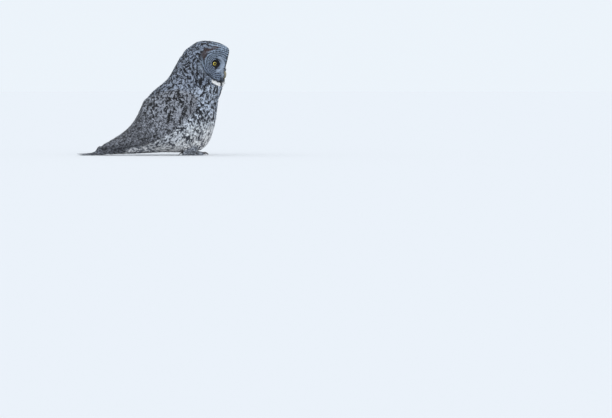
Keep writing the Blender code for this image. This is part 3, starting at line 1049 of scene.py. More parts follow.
@dataclass(frozen=True)
class NodeNet:
    """Adds nodes to a shader tree and links them."""

    tree: bpy.types.NodeTree

    def join(self, node: bpy.types.Node, inputs: dict[int | str, object]) -> bpy.types.Node:
        """Feeds the inputs of a node.

        Args:
            node: The node.
            inputs: Numbers, colours or output sockets, by the input that takes them.

        Returns:
            The same node.
        """
        for key, value in inputs.items():
            if isinstance(value, bpy.types.NodeSocket):
                self.tree.links.new(value, node.inputs[key])
            else:
                node.inputs[key].default_value = value
        return node

    def add(
        self, kind: str, inputs: dict[int | str, object] | None = None, **settings: object
    ) -> bpy.types.Node:
        """Adds a node.

        Args:
            kind: Type of the node.
            inputs: Numbers, colours or output sockets, by the input that takes them.
            settings: The node's other values by name.

        Returns:
            The node.
        """
        node = self.tree.nodes.new(f"ShaderNode{kind}")
        for title, value in settings.items():
            setattr(node, title, value)
        return self.join(node, inputs or {})

    def maths(self, operation: str, *values: object) -> bpy.types.NodeSocket:
        """Adds a math node and gives its result."""
        return self.add("Math", dict(enumerate(values)), operation=operation).outputs[0]

    def step(self, value: object, low: float, high: float) -> bpy.types.NodeSocket:
        """Adds a smooth step from low to high and gives its result."""
        inputs = {"Value": value, "From Min": low, "From Max": high}
        return self.add("MapRange", inputs, interpolation_type="SMOOTHSTEP").outputs["Result"]

    def noise(self, scale: float, detail: float = 2.0) -> bpy.types.NodeSocket:
        """Adds noise over the object, with a scale in cells to a metre, and gives its value."""
        place = self.add("TexCoord").outputs["Object"]
        return self.add("TexNoise", {"Vector": place, "Scale": scale, "Detail": detail}).outputs[0]

    def mix(self, share: object, first: object, second: object) -> bpy.types.NodeSocket:
        """Adds a mix of two colours by the share of the second and gives the colour."""
        return self.add("Mix", {0: share, 6: first, 7: second}, data_type="RGBA").outputs[2]


class ShaderGroups:
    """Shader node groups that the materials share."""

    def __init__(self) -> None:
        """Builds each group once."""
        self.plumage = self._plumage()
        self.barbs = self._barbs()
        self.horn = self._horn()

    @staticmethod
    def _new(
        name: str, inputs: dict[str, str], outputs: dict[str, str]
    ) -> tuple[NodeNet, bpy.types.Node, bpy.types.Node]:
        """Starts a group.

        Args:
            name: Name of the group.
            inputs: Socket types of its inputs by name.
            outputs: Socket types of its outputs by name.

        Returns:
            The net of its nodes, its input node and its output node.
        """
        tree = bpy.data.node_groups.new(name, "ShaderNodeTree")
        for way, sockets in (("INPUT", inputs), ("OUTPUT", outputs)):
            for title, kind in sockets.items():
                tree.interface.new_socket(name=title, in_out=way, socket_type=f"NodeSocket{kind}")
        return NodeNet(tree), tree.nodes.new("NodeGroupInput"), tree.nodes.new("NodeGroupOutput")

    def _plumage(self) -> bpy.types.NodeTree:
        """Marks inside one feather: shaft streak, bars and mottling over its light colour.

        Returns:
            The group.
        """
        inputs = {"Pale": "Color", "Dark": "Color", "Marks": "Vector", "Vane": "Vector"}
        net, source, target = self._new("plumage_marks", inputs, {"Color": "Color"})
        vane = net.add("SeparateXYZ", {0: source.outputs["Vane"]}).outputs
        marks = net.add("SeparateXYZ", {0: source.outputs["Marks"]}).outputs
        across = net.maths("ABSOLUTE", net.maths("SUBTRACT", vane[0], 0.5))
        wobble = net.maths("MULTIPLY", net.maths("SUBTRACT", net.noise(260.0), 0.5), 0.9)
        edge = net.maths("ADD", net.maths("MULTIPLY", across, 2.0), wobble)
        waver = net.maths("MULTIPLY", wobble, 0.45)
        phase = net.maths("ADD", net.maths("MULTIPLY", vane[1], 3.2), waver)
        wave = net.maths("SINE", net.maths("MULTIPLY", phase, 2 * math.pi))
        shapes = (net.step(edge, 0.55, 0.10), net.step(wave, -0.1, 0.9))
        shapes += (net.step(net.noise(800.0), 0.46, 0.62),)
        masks = [net.maths("MULTIPLY", shape, marks[k]) for k, shape in enumerate(shapes)]
        dark = net.maths("MAXIMUM", net.maths("MAXIMUM", masks[0], masks[1]), masks[2])
        mixed = net.mix(dark, source.outputs["Pale"], source.outputs["Dark"])
        net.join(target, {"Color": mixed})
        return net.tree

    def _barbs(self) -> bpy.types.NodeTree:
        """Fine slanted lines of the barbs on both sides of the shaft, as a height.

        Returns:
            The group.
        """
        net, source, target = self._new("barb_lines", {"Vane": "Vector"}, {"Height": "Float"})
        vane = net.add("SeparateXYZ", {0: source.outputs["Vane"]}).outputs
        across = net.maths("ABSOLUTE", net.maths("SUBTRACT", vane[0], 0.5))
        slant = net.maths("SUBTRACT", vane[1], net.maths("MULTIPLY", across, 0.5))
        wave = net.maths("SINE", net.maths("MULTIPLY", slant, 150.0))
        height = net.maths("ADD", net.maths("MULTIPLY", wave, 0.5), net.noise(1500.0, 1.0))
        net.join(target, {"Height": height})
        return net.tree

    def _horn(self) -> bpy.types.NodeTree:
        """Growth streaks of horn, between two colours.

        Returns:
            The group.
        """
        inputs = {"First": "Color", "Second": "Color"}
        outputs = {"Color": "Color", "Height": "Float"}
        net, source, target = self._new("horn_streaks", inputs, outputs)
        share = net.step(net.noise(160.0, 4.0), 0.35, 0.70)
        mixed = net.mix(share, source.outputs["First"], source.outputs["Second"])
        net.join(target, {"Color": mixed, "Height": net.noise(1200.0)})
        return net.tree


def new_material(name: str) -> tuple[bpy.types.Material, NodeNet, bpy.types.Node]:
    """Starts a material.

    Args:
        name: Name of the material.

    Returns:
        The material, the net of its nodes and its shader.
    """
    material = bpy.data.materials.new(name)
    material.use_nodes = True
    tree = material.node_tree
    return material, NodeNet(tree), tree.nodes["Principled BSDF"]


@dataclass(frozen=True)
class PlumageFinish:
    """Soft feathers, coloured by the values kept on their corners."""

    name: str
    roughness: float = 0.72
    sheen: float = 0.12
    barb_depth: float = 0.00025
    on_vanes: bool = True

    def make(self, groups: ShaderGroups) -> bpy.types.Material:
        """Makes the material.

        Args:
            groups: The shared shader groups.

        Returns:
            The material.
        """
        material, net, shader = new_material(self.name)
        sources = {}
        for title, socket in (("Pale", "Color"), ("Dark", "Color"), ("Marks", "Vector")):
            sources[title] = net.add("Attribute", attribute_name=title.lower()).outputs[socket]
        inputs = {"Roughness": self.roughness, "Specular IOR Level": 0.25}
        inputs |= {"Sheen Weight": self.sheen, "Sheen Roughness": 0.6}
        if self.on_vanes:
            vane = net.add("UVMap", uv_map=VANE_MAP).outputs["UV"]
            sources["Vane"] = vane
            lines = net.add("Group", node_tree=groups.barbs)
            height = net.join(lines, {"Vane": vane}).outputs["Height"]
            bump = {"Strength": 0.35, "Distance": self.barb_depth, "Height": height}
            inputs["Normal"] = net.add("Bump", bump).outputs["Normal"]
        marks = net.join(net.add("Group", node_tree=groups.plumage), sources)
        net.join(shader, inputs | {"Base Color": marks.outputs["Color"]})
        return material


@dataclass(frozen=True)
class HornFinish:
    """Smooth horn of bill and claws."""

    name: str
    first: Colour
    second: Colour
    roughness: float = 0.35
    coat: float = 0.3

    def make(self, groups: ShaderGroups) -> bpy.types.Material:
        """Makes the material.

        Args:
            groups: The shared shader groups.

        Returns:
            The material.
        """
        material, net, shader = new_material(self.name)
        colours = {"First": (*self.first, 1.0), "Second": (*self.second, 1.0)}
        horn = net.join(net.add("Group", node_tree=groups.horn), colours).outputs
        bump = net.add("Bump", {"Strength": 0.2, "Distance": 0.0002, "Height": horn["Height"]})
        inputs = {"Roughness": self.roughness, "Coat Weight": self.coat}
        inputs |= {"Base Color": horn["Color"], "Normal": bump.outputs["Normal"]}
        net.join(shader, inputs)
        return material


@dataclass(frozen=True)
class EyeFinish:
    """Wet eyeball with a yellow iris, a black pupil and a dark edge."""

    pupil: float = 0.0048
    iris: float = 0.0079
    yellow: Colour = srgb(232, 216, 96)
    amber: Colour = srgb(208, 184, 66)
    dark: Colour = (0.004, 0.004, 0.005)

    def make(self) -> bpy.types.Material:
        """Makes the material, round the object's own upright axis.

        Returns:
            The material.
        """
        material, net, shader = new_material("eye_wet")
        distance = net.add("Attribute", attribute_name="from_axis").outputs["Fac"]
        dark = (*self.dark, 1.0)
        rays = net.step(net.noise(900.0, 3.0), 0.35, 0.70)
        iris = net.mix(rays, (*self.yellow, 1.0), (*self.amber, 1.0))
        ringed = net.mix(net.step(distance, self.iris * 0.90, self.iris), iris, dark)
        hole = net.step(distance, self.pupil * 1.06, self.pupil * 0.97)
        inputs = {"Roughness": 0.08, "Specular IOR Level": 0.2}
        inputs |= {"Coat Weight": 0.2, "Coat Roughness": 0.02}
        net.join(shader, inputs | {"Base Color": net.mix(hole, ringed, dark)})
        return material


@dataclass(frozen=True)
class Vane:
    """Outline of one feather: a thin closed leaf with rows along its shaft."""

    rows: int = 5
    columns: int = 3
    base: float = 0.35
    tip: float = 3.0
    ragged: float = 0.10
    ridge: float = 0.05
    droop: float = 0.10
    repeat: float = 1.0

    @property
    def corners(self) -> int:
        """Number of corners of one feather."""
        return self.rows * self.columns

    def along(self) -> Array:
        """Shares of the length at which the rows lie, closer together at the tip."""
        share = np.linspace(0, 1, self.rows)
        return 1 - (1 - share) ** 1.35

    def across(self) -> Array:
        """Places of the columns, from -1 to 1."""
        return np.linspace(-1, 1, self.columns)

    def width(self, along: Array) -> Array:
        """Half width at shares of the length, as a share of the widest."""
        grow = self.base + (1 - self.base) * ease(along, 0.0, 0.5)
        return grow * np.maximum(1 - along**self.tip, 0.0) ** 0.5 + 0.04

    def faces(self) -> list[tuple[int, ...]]:
        """Lists the faces of one feather.

        Returns:
            The top, a strip underneath and the two ends, as numbers of corners.
        """
        wide = self.columns
        top = [
            (r * wide + c, r * wide + c + 1, (r + 1) * wide + c + 1, (r + 1) * wide + c)
            for r in range(self.rows - 1)
            for c in range(wide - 1)
        ]
        under = [
            (r * wide, (r + 1) * wide, (r + 2) * wide - 1, (r + 1) * wide - 1)
            for r in range(self.rows - 1)
        ]
        last = (self.rows - 1) * wide
        return [*top, *under, tuple(reversed(range(wide))), tuple(last + c for c in range(wide))]

    def spread_out(
        self,
        shaft: Array,
        normal: Array,
        ways: Array,
        half: Array,
        length: Array,
        height: Array,
        chance: np.random.Generator,
    ) -> Array:
        """Sets the corners of feathers round their shafts.

        Args:
            shaft: Places along the shafts, as (feathers, rows, 3).
            normal: Directions out of the body there.
            ways: Directions along the shafts there.
            half: Half the width of each feather.
            length: Length of each feather.
            height: Height over the shaft's places, as (feathers, rows).
            chance: Source of random numbers.

        Returns:
            The corners, as (feathers, rows, columns, 3).
        """
        share = self.along()[None, :, None, None]
        across = self.across()[None, None, :, None]
        wide = self.width(self.along())[None, :, None, None]
        half, length = half[:, None, None, None], length[:, None, None, None]
        size = (len(shaft), self.rows, self.columns, 1)
        fray = 1 + self.ragged * chance.uniform(-1, 1, size) * np.abs(across)
        sideways = np.cross(normal, ways)[:, :, None, :] * across * wide * half * fray
        ridge = self.ridge * half * 2 * (1 - np.abs(across)) - self.droop * half * across**2
        barbs = chance.uniform(-1, 0.35, (len(shaft), 1, self.columns, 1)) * self.ragged * share**3
        stretch = length * (barbs - 0.10 * across**2 * share**3)
        out = normal[:, :, None, :] * (height[:, :, None, None] + ridge * (1 - 0.7 * share))
        return shaft[:, :, None, :] + sideways + out + ways[:, :, None, :] * stretch


def vane_object(
    name: str, corners: Array, vane: Vane, paint: Paint, spots: Array, patch: tuple[float, float]
) -> bpy.types.Object:
    """Builds one object of many feathers.

    Args:
        name: Name of the object.
        corners: Corners of all feathers, as (feathers, rows, columns, 3).
        vane: Outline of the feathers.
        paint: Colours and marks at every corner.
        spots: Middle of each feather's patch on the bake map.
        patch: Width and height of those patches.

    Returns:
        The object with its maps and colour values.
    """
    count = len(corners)
    points = corners.reshape(-1, 3)
    points[:, 2] = np.maximum(points[:, 2], FLOOR_CLEARANCE)
    faces = vane.faces()
    sizes = np.tile([len(face) for face in faces], count)
    order = np.concatenate([np.array(face) for face in faces])
    loops = (order[None, :] + (np.arange(count) * vane.corners)[:, None]).ravel()
    mesh = bpy.data.meshes.new(name)
    mesh.vertices.add(len(points))
    mesh.loops.add(len(loops))
    mesh.polygons.add(len(sizes))
    mesh.vertices.foreach_set("co", points.astype(np.float32).ravel())
    mesh.loops.foreach_set("vertex_index", loops.astype(np.int32))
    starts = np.concatenate([[0], np.cumsum(sizes)[:-1]])
    mesh.polygons.foreach_set("loop_start", starts.astype(np.int32))
    mesh.update(calc_edges=True)
    hard = np.tile(np.arange(len(faces)) >= (vane.rows - 1) * (vane.columns - 1), count)
    mesh.attributes.new("sharp_face", "BOOLEAN", "FACE").data.foreach_set("value", hard)
    along, across = np.meshgrid(vane.along(), vane.across(), indexing="ij")
    local = np.stack([across.ravel() * 0.5 + 0.5, along.ravel()], axis=1)
    every = np.tile(local, (count, 1))
    baked = np.repeat(spots, vane.corners, axis=0) + (every - 0.5) * patch
    for title, values in ((BAKE_MAP, baked), (VANE_MAP, every * (1.0, vane.repeat))):
        layer = mesh.uv_layers.new(name=title)
        layer.data.foreach_set("uv", values[loops].astype(np.float32).ravel())
    set_paint(mesh, paint)
    return add_object(name, mesh)


def set_paint(mesh: bpy.types.Mesh, paint: Paint) -> None:
    """Keeps colours and marks on the corners of a mesh.

    Args:
        mesh: The mesh.
        paint: One row of values for each corner.
    """
    opaque = np.ones((len(paint.pale), 1))
    for title, values in (("pale", paint.pale), ("dark", paint.dark)):
        layer = mesh.attributes.new(title, "FLOAT_COLOR", "POINT")
        rows = np.hstack([np.clip(values, 0, 1), opaque])
        layer.data.foreach_set("color", rows.astype(np.float32).ravel())
    layer = mesh.attributes.new("marks", "FLOAT_VECTOR", "POINT")
    layer.data.foreach_set("vector", paint.marks.astype(np.float32).ravel())


def free_spots(places: Array, margin: float, cell: float) -> Array:
    """Spreads places over the bake map, each in a free cell, so that no two patches overlap.

    Args:
        places: Rows of two coordinates.
        margin: Bare share of the map at each edge.
        cell: Size of a cell.

    Returns:
        The middles of the cells.
    """
    low, high = places.min(0), places.max(0)
    places = margin + (1 - 2 * margin) * (places - low) / (high - low)
    taken: set[tuple[int, int]] = set()
    steps = [(i, j) for i in range(-12, 13) for j in range(-12, 13)]
    steps.sort(key=lambda step: step[0] ** 2 + step[1] ** 2)
    most = int(1 / cell) - 1
    spots = np.empty_like(places)
    for row, (x, y) in enumerate(places):
        home = (int(x / cell), int(y / cell))
        for i, j in steps:
            spot = (home[0] + i, home[1] + j)
            if spot not in taken and 1 <= spot[0] < most and 1 <= spot[1] < most:
                break
        taken.add(spot)
        spots[row] = ((spot[0] + 0.5) * cell, (spot[1] + 0.5) * cell)
    return spots


class Area(Enum):
    """Areas of the coat, each made as one piece."""

    FACE_LEFT = "face_left"
    FACE_RIGHT = "face_right"
    HEAD = "head"
    NECK = "neck"
    FRONT_LEFT = "front_left"
    FRONT_RIGHT = "front_right"
    BACK = "back"
    WING_LEFT = "wing_left"
    WING_RIGHT = "wing_right"
    UNDERTAIL = "undertail"
    LEGS = "legs"

    @property
    def kind(self) -> str:
        """Name of the area without its side."""
        return self.value.split("_")[0]

    def on_side(self, side: Array) -> Array:
        """Finds the points on the area's side of the body.

        Args:
            side: Distances to the left.

        Returns:
            True for each point that lies on its side.
        """
        if self.value.endswith("_left"):
            return side >= 0
        return side < 0 if self.value.endswith("_right") else np.ones(len(side), bool)


@dataclass
class Coat:
    """One area of the coat: where its feathers grow and how large they are."""

    area: Area
    slot: str
    vane: Vane
    length: tuple[float, float]
    width: tuple[float, float]
    spacing: float = 0.48
    lift: float = 0.0012
    turn: float = 0.16

    def growth(self, surface: Surface) -> tuple[Array, Array]:
        """Works out where the area is and how far along it each corner lies.

        Args:
            surface: The surface with its region shares.

        Returns:
            Share of the area at each corner, and share of the way from its start to its end.
        """
        points, normals, trunk = surface.points, surface.normals, surface.share(Region.TRUNK)
        forward, up = BIRD.forward(points), points[:, 2]
        ahead, side, rise = BIRD.to_head(points)
        on_face, back = surface.on_face(0.985), surface.facing() < -0.10
        on_side = self.area.on_side(points[:, 0])
        kind = self.area.kind
        if kind == "face":
            open_eye = np.hypot(*FACE.from_eye(side, rise)) < 0.0084
            inside = on_face & ~open_eye & self.area.on_side(side)
            return inside.astype(float), FACE.reach(side, rise)
        if kind == "head":
            return surface.share(*HEAD_REGIONS) * ~on_face, ease(ahead, 0.08, -0.09)
        if kind == "neck":
            return surface.share(Region.NECK), ease(up, 0.40, 0.24)
        if kind == "front":
            return trunk * ~back * on_side, ease(up, 0.27, 0.05)
        if kind == "back":
            body = (trunk + surface.share(Region.TAIL)) * back
            return body * ease(forward, -0.272, -0.262) * (up > 0.02), ease(forward, -0.08, -0.26)
        if kind == "wing":
            along = WING.find(points)[0]
            inner = ease(np.abs(normals[:, 0]), 0.86, 0.74) * ease(normals[:, 2], -0.2, 0.1)
            covered = np.maximum(ease(along, 0.84, 0.76), inner)
            return surface.share(*WING_REGIONS) * covered * on_side, ease(along, 0.04, 0.66)
        if kind == "undertail":
            under = surface.share(Region.UNDERTAIL) * (normals[:, 2] < 0.4)
            return under, ease(forward, -0.06, -0.30)
        return surface.share(*LEG_REGIONS), ease(up, 0.05, 0.012)

    def plant(
        self, surface: Surface, tones: Array, depth: Array, markings: Markings
    ) -> bpy.types.Object:
        """Grows the feathers of the area.

        Args:
            surface: The outside of the plumage.
            tones: Tone values at each of its corners.
            depth: Depth of the coat at each of its corners.
            markings: The plumage's pattern.

        Returns:
            The piece.
        """
        chance = np.random.default_rng(sum(map(ord, self.area.value)))
        inside, stage = self.growth(surface)
        roots, corner = self._roots(surface, inside, stage, chance)
        count = len(roots)
        length, width = self._sizes(stage[corner])
        length = length * chance.uniform(0.82, 1.15, count)
        half = width * 0.5 * chance.uniform(0.85, 1.15, count)
        turn = chance.normal(0, self.turn, count)
        shaft, normal, ways, beside = self._march(surface, roots, corner, length, turn)
        share = self.vane.along()
        height = self.lift * chance.uniform(0.8, 1.4, (count, 1)) * share**1.5
        height = height - depth[corner][:, None] * (1 - share) ** 1.4
        corners = self.vane.spread_out(shaft, normal, ways, half, length, height, chance)
        paint = self._paint(tones[beside], markings, corners, chance)
        spots, name = self._unwrapped(roots), f"coat_{self.area.value}"
        return vane_object(name, corners, self.vane, paint, spots, (0.003, 0.003))

    def _sizes(self, stage: Array) -> tuple[Array, Array]:
        """Feather length and width at shares of the way along the area."""
        return np.interp(stage, (0, 1), self.length), np.interp(stage, (0, 1), self.width)

    def _roots(
        self, surface: Surface, inside: Array, stage: Array, chance: np.random.Generator
    ) -> tuple[Array, Array]:
        """Scatters roots over the area, none nearer to another than its spacing.

        Args:
            surface: The outside of the plumage.
            inside: Share of the area at each corner of it.
            stage: Share of the way along the area at each corner.
            chance: Source of random numbers.

        Returns:
            The roots, and for each the number of a corner beside it.
        """
        triangles = surface.triangles
        corner = surface.points[triangles]
        size = np.linalg.norm(
            np.cross(corner[:, 1] - corner[:, 0], corner[:, 2] - corner[:, 0]), axis=1
        )
        apart = self._sizes(stage)[1] * self.spacing
        member = inside[triangles].mean(1)
        wanted = size * 0.5 * (member > 0.12) / apart[triangles].mean(1) ** 2
        total = int(wanted.sum() * 4.0)
        chosen = chance.choice(len(triangles), total, p=wanted / wanted.sum())
        share = chance.random((total, 2))
        over = share.sum(1) > 1
        share[over] = 1 - share[over]
        a, b, c = (corner[chosen, k] for k in range(3))
        spots = a + (b - a) * share[:, :1] + (c - a) * share[:, 1:]
        closest = np.stack([1 - share.sum(1), share[:, 0], share[:, 1]], 1).argmax(1)
        nearest = triangles[chosen, closest]
        kept = chance.random(total) < inside[nearest] * 1.6
        spots, nearest = spots[kept], nearest[kept]
        gap = apart[nearest]
        keys = np.floor(spots / float(gap.max())).astype(int)
        grid: dict[tuple[int, int, int], list[int]] = {}
        accepted: list[int] = []
        around = list(np.ndindex(3, 3, 3))
        flat = spots.tolist()
        for index, (i, j, k) in enumerate(keys.tolist()):
            x, y, z = flat[index]
            limit = gap[index] ** 2
            near = (
                flat[other]
                for di, dj, dk in around
                for other in grid.get((i + di - 1, j + dj - 1, k + dk - 1), ())
            )
            if all((x - p) ** 2 + (y - q) ** 2 + (z - r) ** 2 >= limit for p, q, r in near):
                grid.setdefault((i, j, k), []).append(index)
                accepted.append(index)
        return spots[accepted], nearest[accepted]

    def _march(
        self, surface: Surface, roots: Array, corner: Array, length: Array, turn: Array
    ) -> tuple[Array, Array, Array, Array]:
        """Runs each shaft over the surface along the lie of the plumage.

        Args:
            surface: The outside of the plumage.
            roots: Where the feathers start.
            corner: A corner of the surface beside each root.
            length: Length of each feather.
            turn: Turn of each feather off the lie.

        Returns:
            The shafts, the normals and the directions row by row, and a corner beside the end.
        """
        spot, beside = roots.copy(), corner.copy()
        shaft, normals, ways = [], [], []
        before = 0.0
        for row in self.vane.along():
            if row > 0:
                step = (length * (row - before))[:, None]
                spot, beside = surface.nearest(spot + ways[-1] * step)
            normal, flow = surface.lay[beside], surface.flow[beside]
            way = flow * np.cos(turn)[:, None] + np.cross(normal, flow) * np.sin(turn)[:, None]
            if row > 0:
                way = way * 0.35 + ways[-1] * 0.65
            before = row
            shaft.append(spot)
            normals.append(normal)
            ways.append(flattened(way, normal))
        even = [evened(np.stack(rows, 1), 2) for rows in (shaft, normals, ways)]
        return even[0], unit(even[1]), unit(even[2]), beside

    def _paint(
        self, tones: Array, markings: Markings, corners: Array, chance: np.random.Generator
    ) -> Paint:
        """Paints each feather in the tone of the place where its tip shows.

        Args:
            tones: Tone values for each feather.
            markings: The plumage's pattern.
            corners: Corners of the feathers.
            chance: Source of random numbers.

        Returns:
            The colours and marks at every corner.
        """
        luck, every = chance.random(len(corners)), self.vane.corners
        if self.area.kind == "face":
            tips = corners[:, -2, self.vane.columns // 2]
            return markings.paint_face(tips, luck).repeated(every)
        rows, lucks = (np.repeat(values, every, axis=0) for values in (tones, luck))
        return markings.paint(rows, corners.reshape(-1, 3), lucks)

    def _unwrapped(self, roots: Array) -> Array:
        """Places the roots on an unwrap of the skin: round the body and along it.

        Args:
            roots: Where the feathers start.

        Returns:
            Middles of free cells of the bake map.
        """
        forward, side, up = BIRD.forward(roots), roots[:, 0], roots[:, 2]
        kind = self.area.kind
        if kind in ("face", "head"):
            ahead, side, rise = BIRD.to_head(roots)
            angle = np.arctan2(side, rise - 0.005)
            polar = np.arctan2(np.hypot(side, rise - 0.005), ahead)
            flat = (polar * np.sin(angle), polar * np.cos(angle))
        elif kind == "wing":
            flat = (forward - up, up + forward + np.abs(side))
        elif kind in ("back", "undertail"):
            flat = (side, up - forward)
        elif kind == "legs":
            ahead, out = forward - ANKLE_FORWARD, side - np.sign(side) * ANKLE_SIDE
            turn = np.arctan2(out, ahead)
            flat = (turn * 0.02 + np.sign(side) * 0.1, up * 2 - np.hypot(ahead, out))
        else:
            flat = (np.arctan2(side, forward + 0.05), up)
        return free_spots(np.stack(flat, axis=1), 0.01, 0.0034)


@dataclass
class LongFeathers:
    """Large feathers that are laid one by one over given shafts."""

    name: str
    vane: Vane
    seed: int

    def lay(
        self, shafts: Array, normals: Array, half: Array, height: Array, tone: Tone
    ) -> bpy.types.Object:
        """Makes the piece.

        Args:
            shafts: Places along the shafts, as (feathers, rows, 3).
            normals: Directions out of the body there.
            half: Half the width of each feather.
            height: Height over the shaft's places, as (feathers, rows).
            tone: Colours and marks of the feathers.

        Returns:
            The piece.
        """
        chance = np.random.default_rng(self.seed)
        count = len(shafts)
        ways = unit(np.gradient(shafts, axis=1))
        normals = flattened(normals, ways)
        length = np.linalg.norm(np.diff(shafts, axis=1), axis=2).sum(1)
        corners = self.vane.spread_out(shafts, normals, ways, half, length, height, chance)
        luck = chance.uniform(0.82, 1.15, (count, 1))
        row = np.array(tone.row())
        colours = (np.tile(row[part], (count, 1)) * luck for part in (PALE, DARK))
        paint = Paint(*colours, np.tile(row[MARKS], (count, 1))).repeated(self.vane.corners)
        spots = np.stack([(np.arange(count) + 0.5) / count, np.full(count, 0.5)], axis=1)
        patch = (0.92 / count, 0.96)
        return vane_object(self.name, corners, self.vane, paint, spots, patch)


@dataclass
class Wings:
    """Flight feathers of the folded wings, as places on the wing's net."""

    secondaries: int = 10
    secondary_from: float = 0.50
    secondary_tips: tuple[float, float] = (0.66, 0.83)
    primaries: tuple[tuple[float, float], ...] = (
        (0.26, 0.860),
        (0.35, 0.895),
        (0.44, 0.930),
        (0.53, 0.960),
        (0.62, 0.985),
        (0.70, 1.000),
        (0.80, 0.965),
        (0.91, 0.915),
    )
    half_width: float = 0.0140
    layer: float = 0.0010

    def build(self, surface: Surface, markings: Markings, sign: int) -> list[bpy.types.Object]:
        """Lays the flight feathers of one wing.

        Args:
            surface: The outside of the plumage.
            markings: The plumage's pattern.
            sign: Side of the body, 1 for the left.

        Returns:
            The primaries and the secondaries.
        """
        side = "left" if sign > 0 else "right"
        vane = Vane(rows=26, columns=9, base=0.7, tip=9.0, ragged=0.025, droop=0.08, repeat=3.0)
        rank = np.linspace(0, 1, self.secondaries)
        tips = np.interp(rank, (0, 1), self.secondary_tips)
        inner = np.stack([0.06 + 0.88 * rank, tips], axis=1)
        outer = np.array(self.primaries)
        falls = np.linspace(0, 1, len(outer))
        pieces = []
        for name, spots, start, layers, seed in (
            ("primaries", outer, 0.60, 0.0002 - 0.0022 * falls, 41),
            ("secondaries", inner, self.secondary_from, self.layer * (1 - rank) - 0.0012, 42),
        ):
            shafts, normals = [], []
            for across, tip in spots:
                along = start + (tip - start) * vane.along()
                flat = WING.spot(along, np.full(len(along), across))
                places, beside = surface.cast(flat, sign)
                shafts.append(places)
                normals.append(surface.lay[beside])
            height = layers[:, None] - 0.007 * (1 - vane.along()) ** 1.5
            half = np.full(len(spots), self.half_width)
            maker = LongFeathers(f"{name}_{side}_vanes", vane, seed)
            smooth = evened(np.stack(shafts), 4), evened(np.stack(normals), 4)
            pieces.append(maker.lay(*smooth, half, height, markings.flight))
        return pieces


@dataclass
class Tail:
    """Fan of tail feathers, arched at its base and laid on the floor at its end."""

    feathers: int = 12
    base: float = -0.214
    length: float = 0.243
    base_up: float = 0.047
    tip_up: float = 0.0035
    base_half_width: float = 0.030
    spread: float = math.radians(11.0)
    half_width: float = 0.0165

    def build(self, markings: Markings) -> bpy.types.Object:
        """Makes the fan.

        Args:
            markings: The plumage's pattern.

        Returns:
            The piece.
        """
        vane = Vane(rows=30, columns=9, base=0.6, tip=18.0, ragged=0.016, droop=0.05, repeat=4.0)
        across = (np.arange(self.feathers) * 2 + 1) / self.feathers - 1
        share = vane.along()[None, :]
        a = across[:, None]
        run = self.length * (1 - 0.09 * a**2) * share
        part = run / self.length
        up = self.tip_up + (self.base_up - self.tip_up) * (1 - part) ** 1.9
        up = np.maximum(up - (0.014 - 0.010 * part) * a**2, 0.0016)
        side = self.base_half_width * a + run * np.sin(self.spread * a)
        ahead = self.base - run * np.cos(self.spread * a)
        shafts = np.stack([side, BIRD.centre_forward - ahead, up], axis=2)
        normals = np.stack([0.22 * a * (1 - part), 0.2 * (1 - part), np.ones_like(run)], axis=2)
        order = 1 - np.abs(across)
        height = 0.0036 * order[:, None] - 0.0014 + 0 * share
        half = np.full(self.feathers, self.half_width)
        maker = LongFeathers("tail_vanes", vane, 43)
        return maker.lay(shafts, unit(normals), half, height, markings.tail)


def smooth_rows(rows: Array, steps: int) -> Array:
    """Samples of a smooth curve through rows of numbers.

    Args:
        rows: Rows that the curve runs through.
        steps: Number of spans between two rows.

    Returns:
        The samples.
    """
    padded = np.vstack([2 * rows[0] - rows[1], rows, 2 * rows[-1] - rows[-2]])
    t = (np.arange(steps) / steps)[:, None]
    parts = []
    for k in range(len(rows) - 1):
        a, b, c, d = padded[k : k + 4]
        curve = 2 * b + (c - a) * t + (2 * a - 5 * b + 4 * c - d) * t**2
        parts.append(0.5 * (curve + (3 * b - a - 3 * c + d) * t**3))
    return np.vstack([*parts, rows[-1:]])


@dataclass
class Horn:
    """A tapering curved horn, such as a half of the bill or a claw."""

    path: Array
    across: Vector
    keel: float = 0.12
    segments: int = 24

    def add_to(self, bm: bmesh.types.BMesh) -> None:
        """Adds the horn to a mesh.

        Args:
            bm: The mesh.
        """
        rows = smooth_rows(self.path, 6)
        ways = unit(np.gradient(rows[:, :3], axis=0))
        rings = []
        for row, way in zip(rows, ways):
            width = Vector(self.across)
            width = (width - Vector(way) * width.dot(Vector(way))).normalized()
            high = width.cross(Vector(way))
            high = high if high.z + high.y * 0.2 >= 0 or abs(way[2]) > 0.6 else -high
            ring = []
            for step in range(self.segments):
                angle = step / self.segments * 2 * math.pi
                out, rise = math.cos(angle), math.sin(angle)
                narrow = 1 - self.keel * max(rise, 0.0)
                place = Vector(row[:3]) + width * row[3] * out * narrow + high * row[4] * rise
                ring.append(bm.verts.new(place))
            rings.append(ring)
        join_rings(bm, rings)
        for ring in (rings[0], rings[-1]):
            middle = bm.verts.new(sum((v.co for v in ring), Vector()) / len(ring))
            for k in range(self.segments):
                bm.faces.new((ring[k], ring[(k + 1) % self.segments], middle))


def horn_object(name: str, horns: list[Horn], material: bpy.types.Material) -> bpy.types.Object:
    """Makes one smooth object of horns.

    Args:
        name: Name of the object.
        horns: The horns.
        material: Its material.

    Returns:
        The object.
    """
    bm = bmesh.new()
    for horn in horns:
        horn.add_to(bm)
    bmesh.ops.recalc_face_normals(bm, faces=bm.faces)
    return mesh_object(name, bm, material)


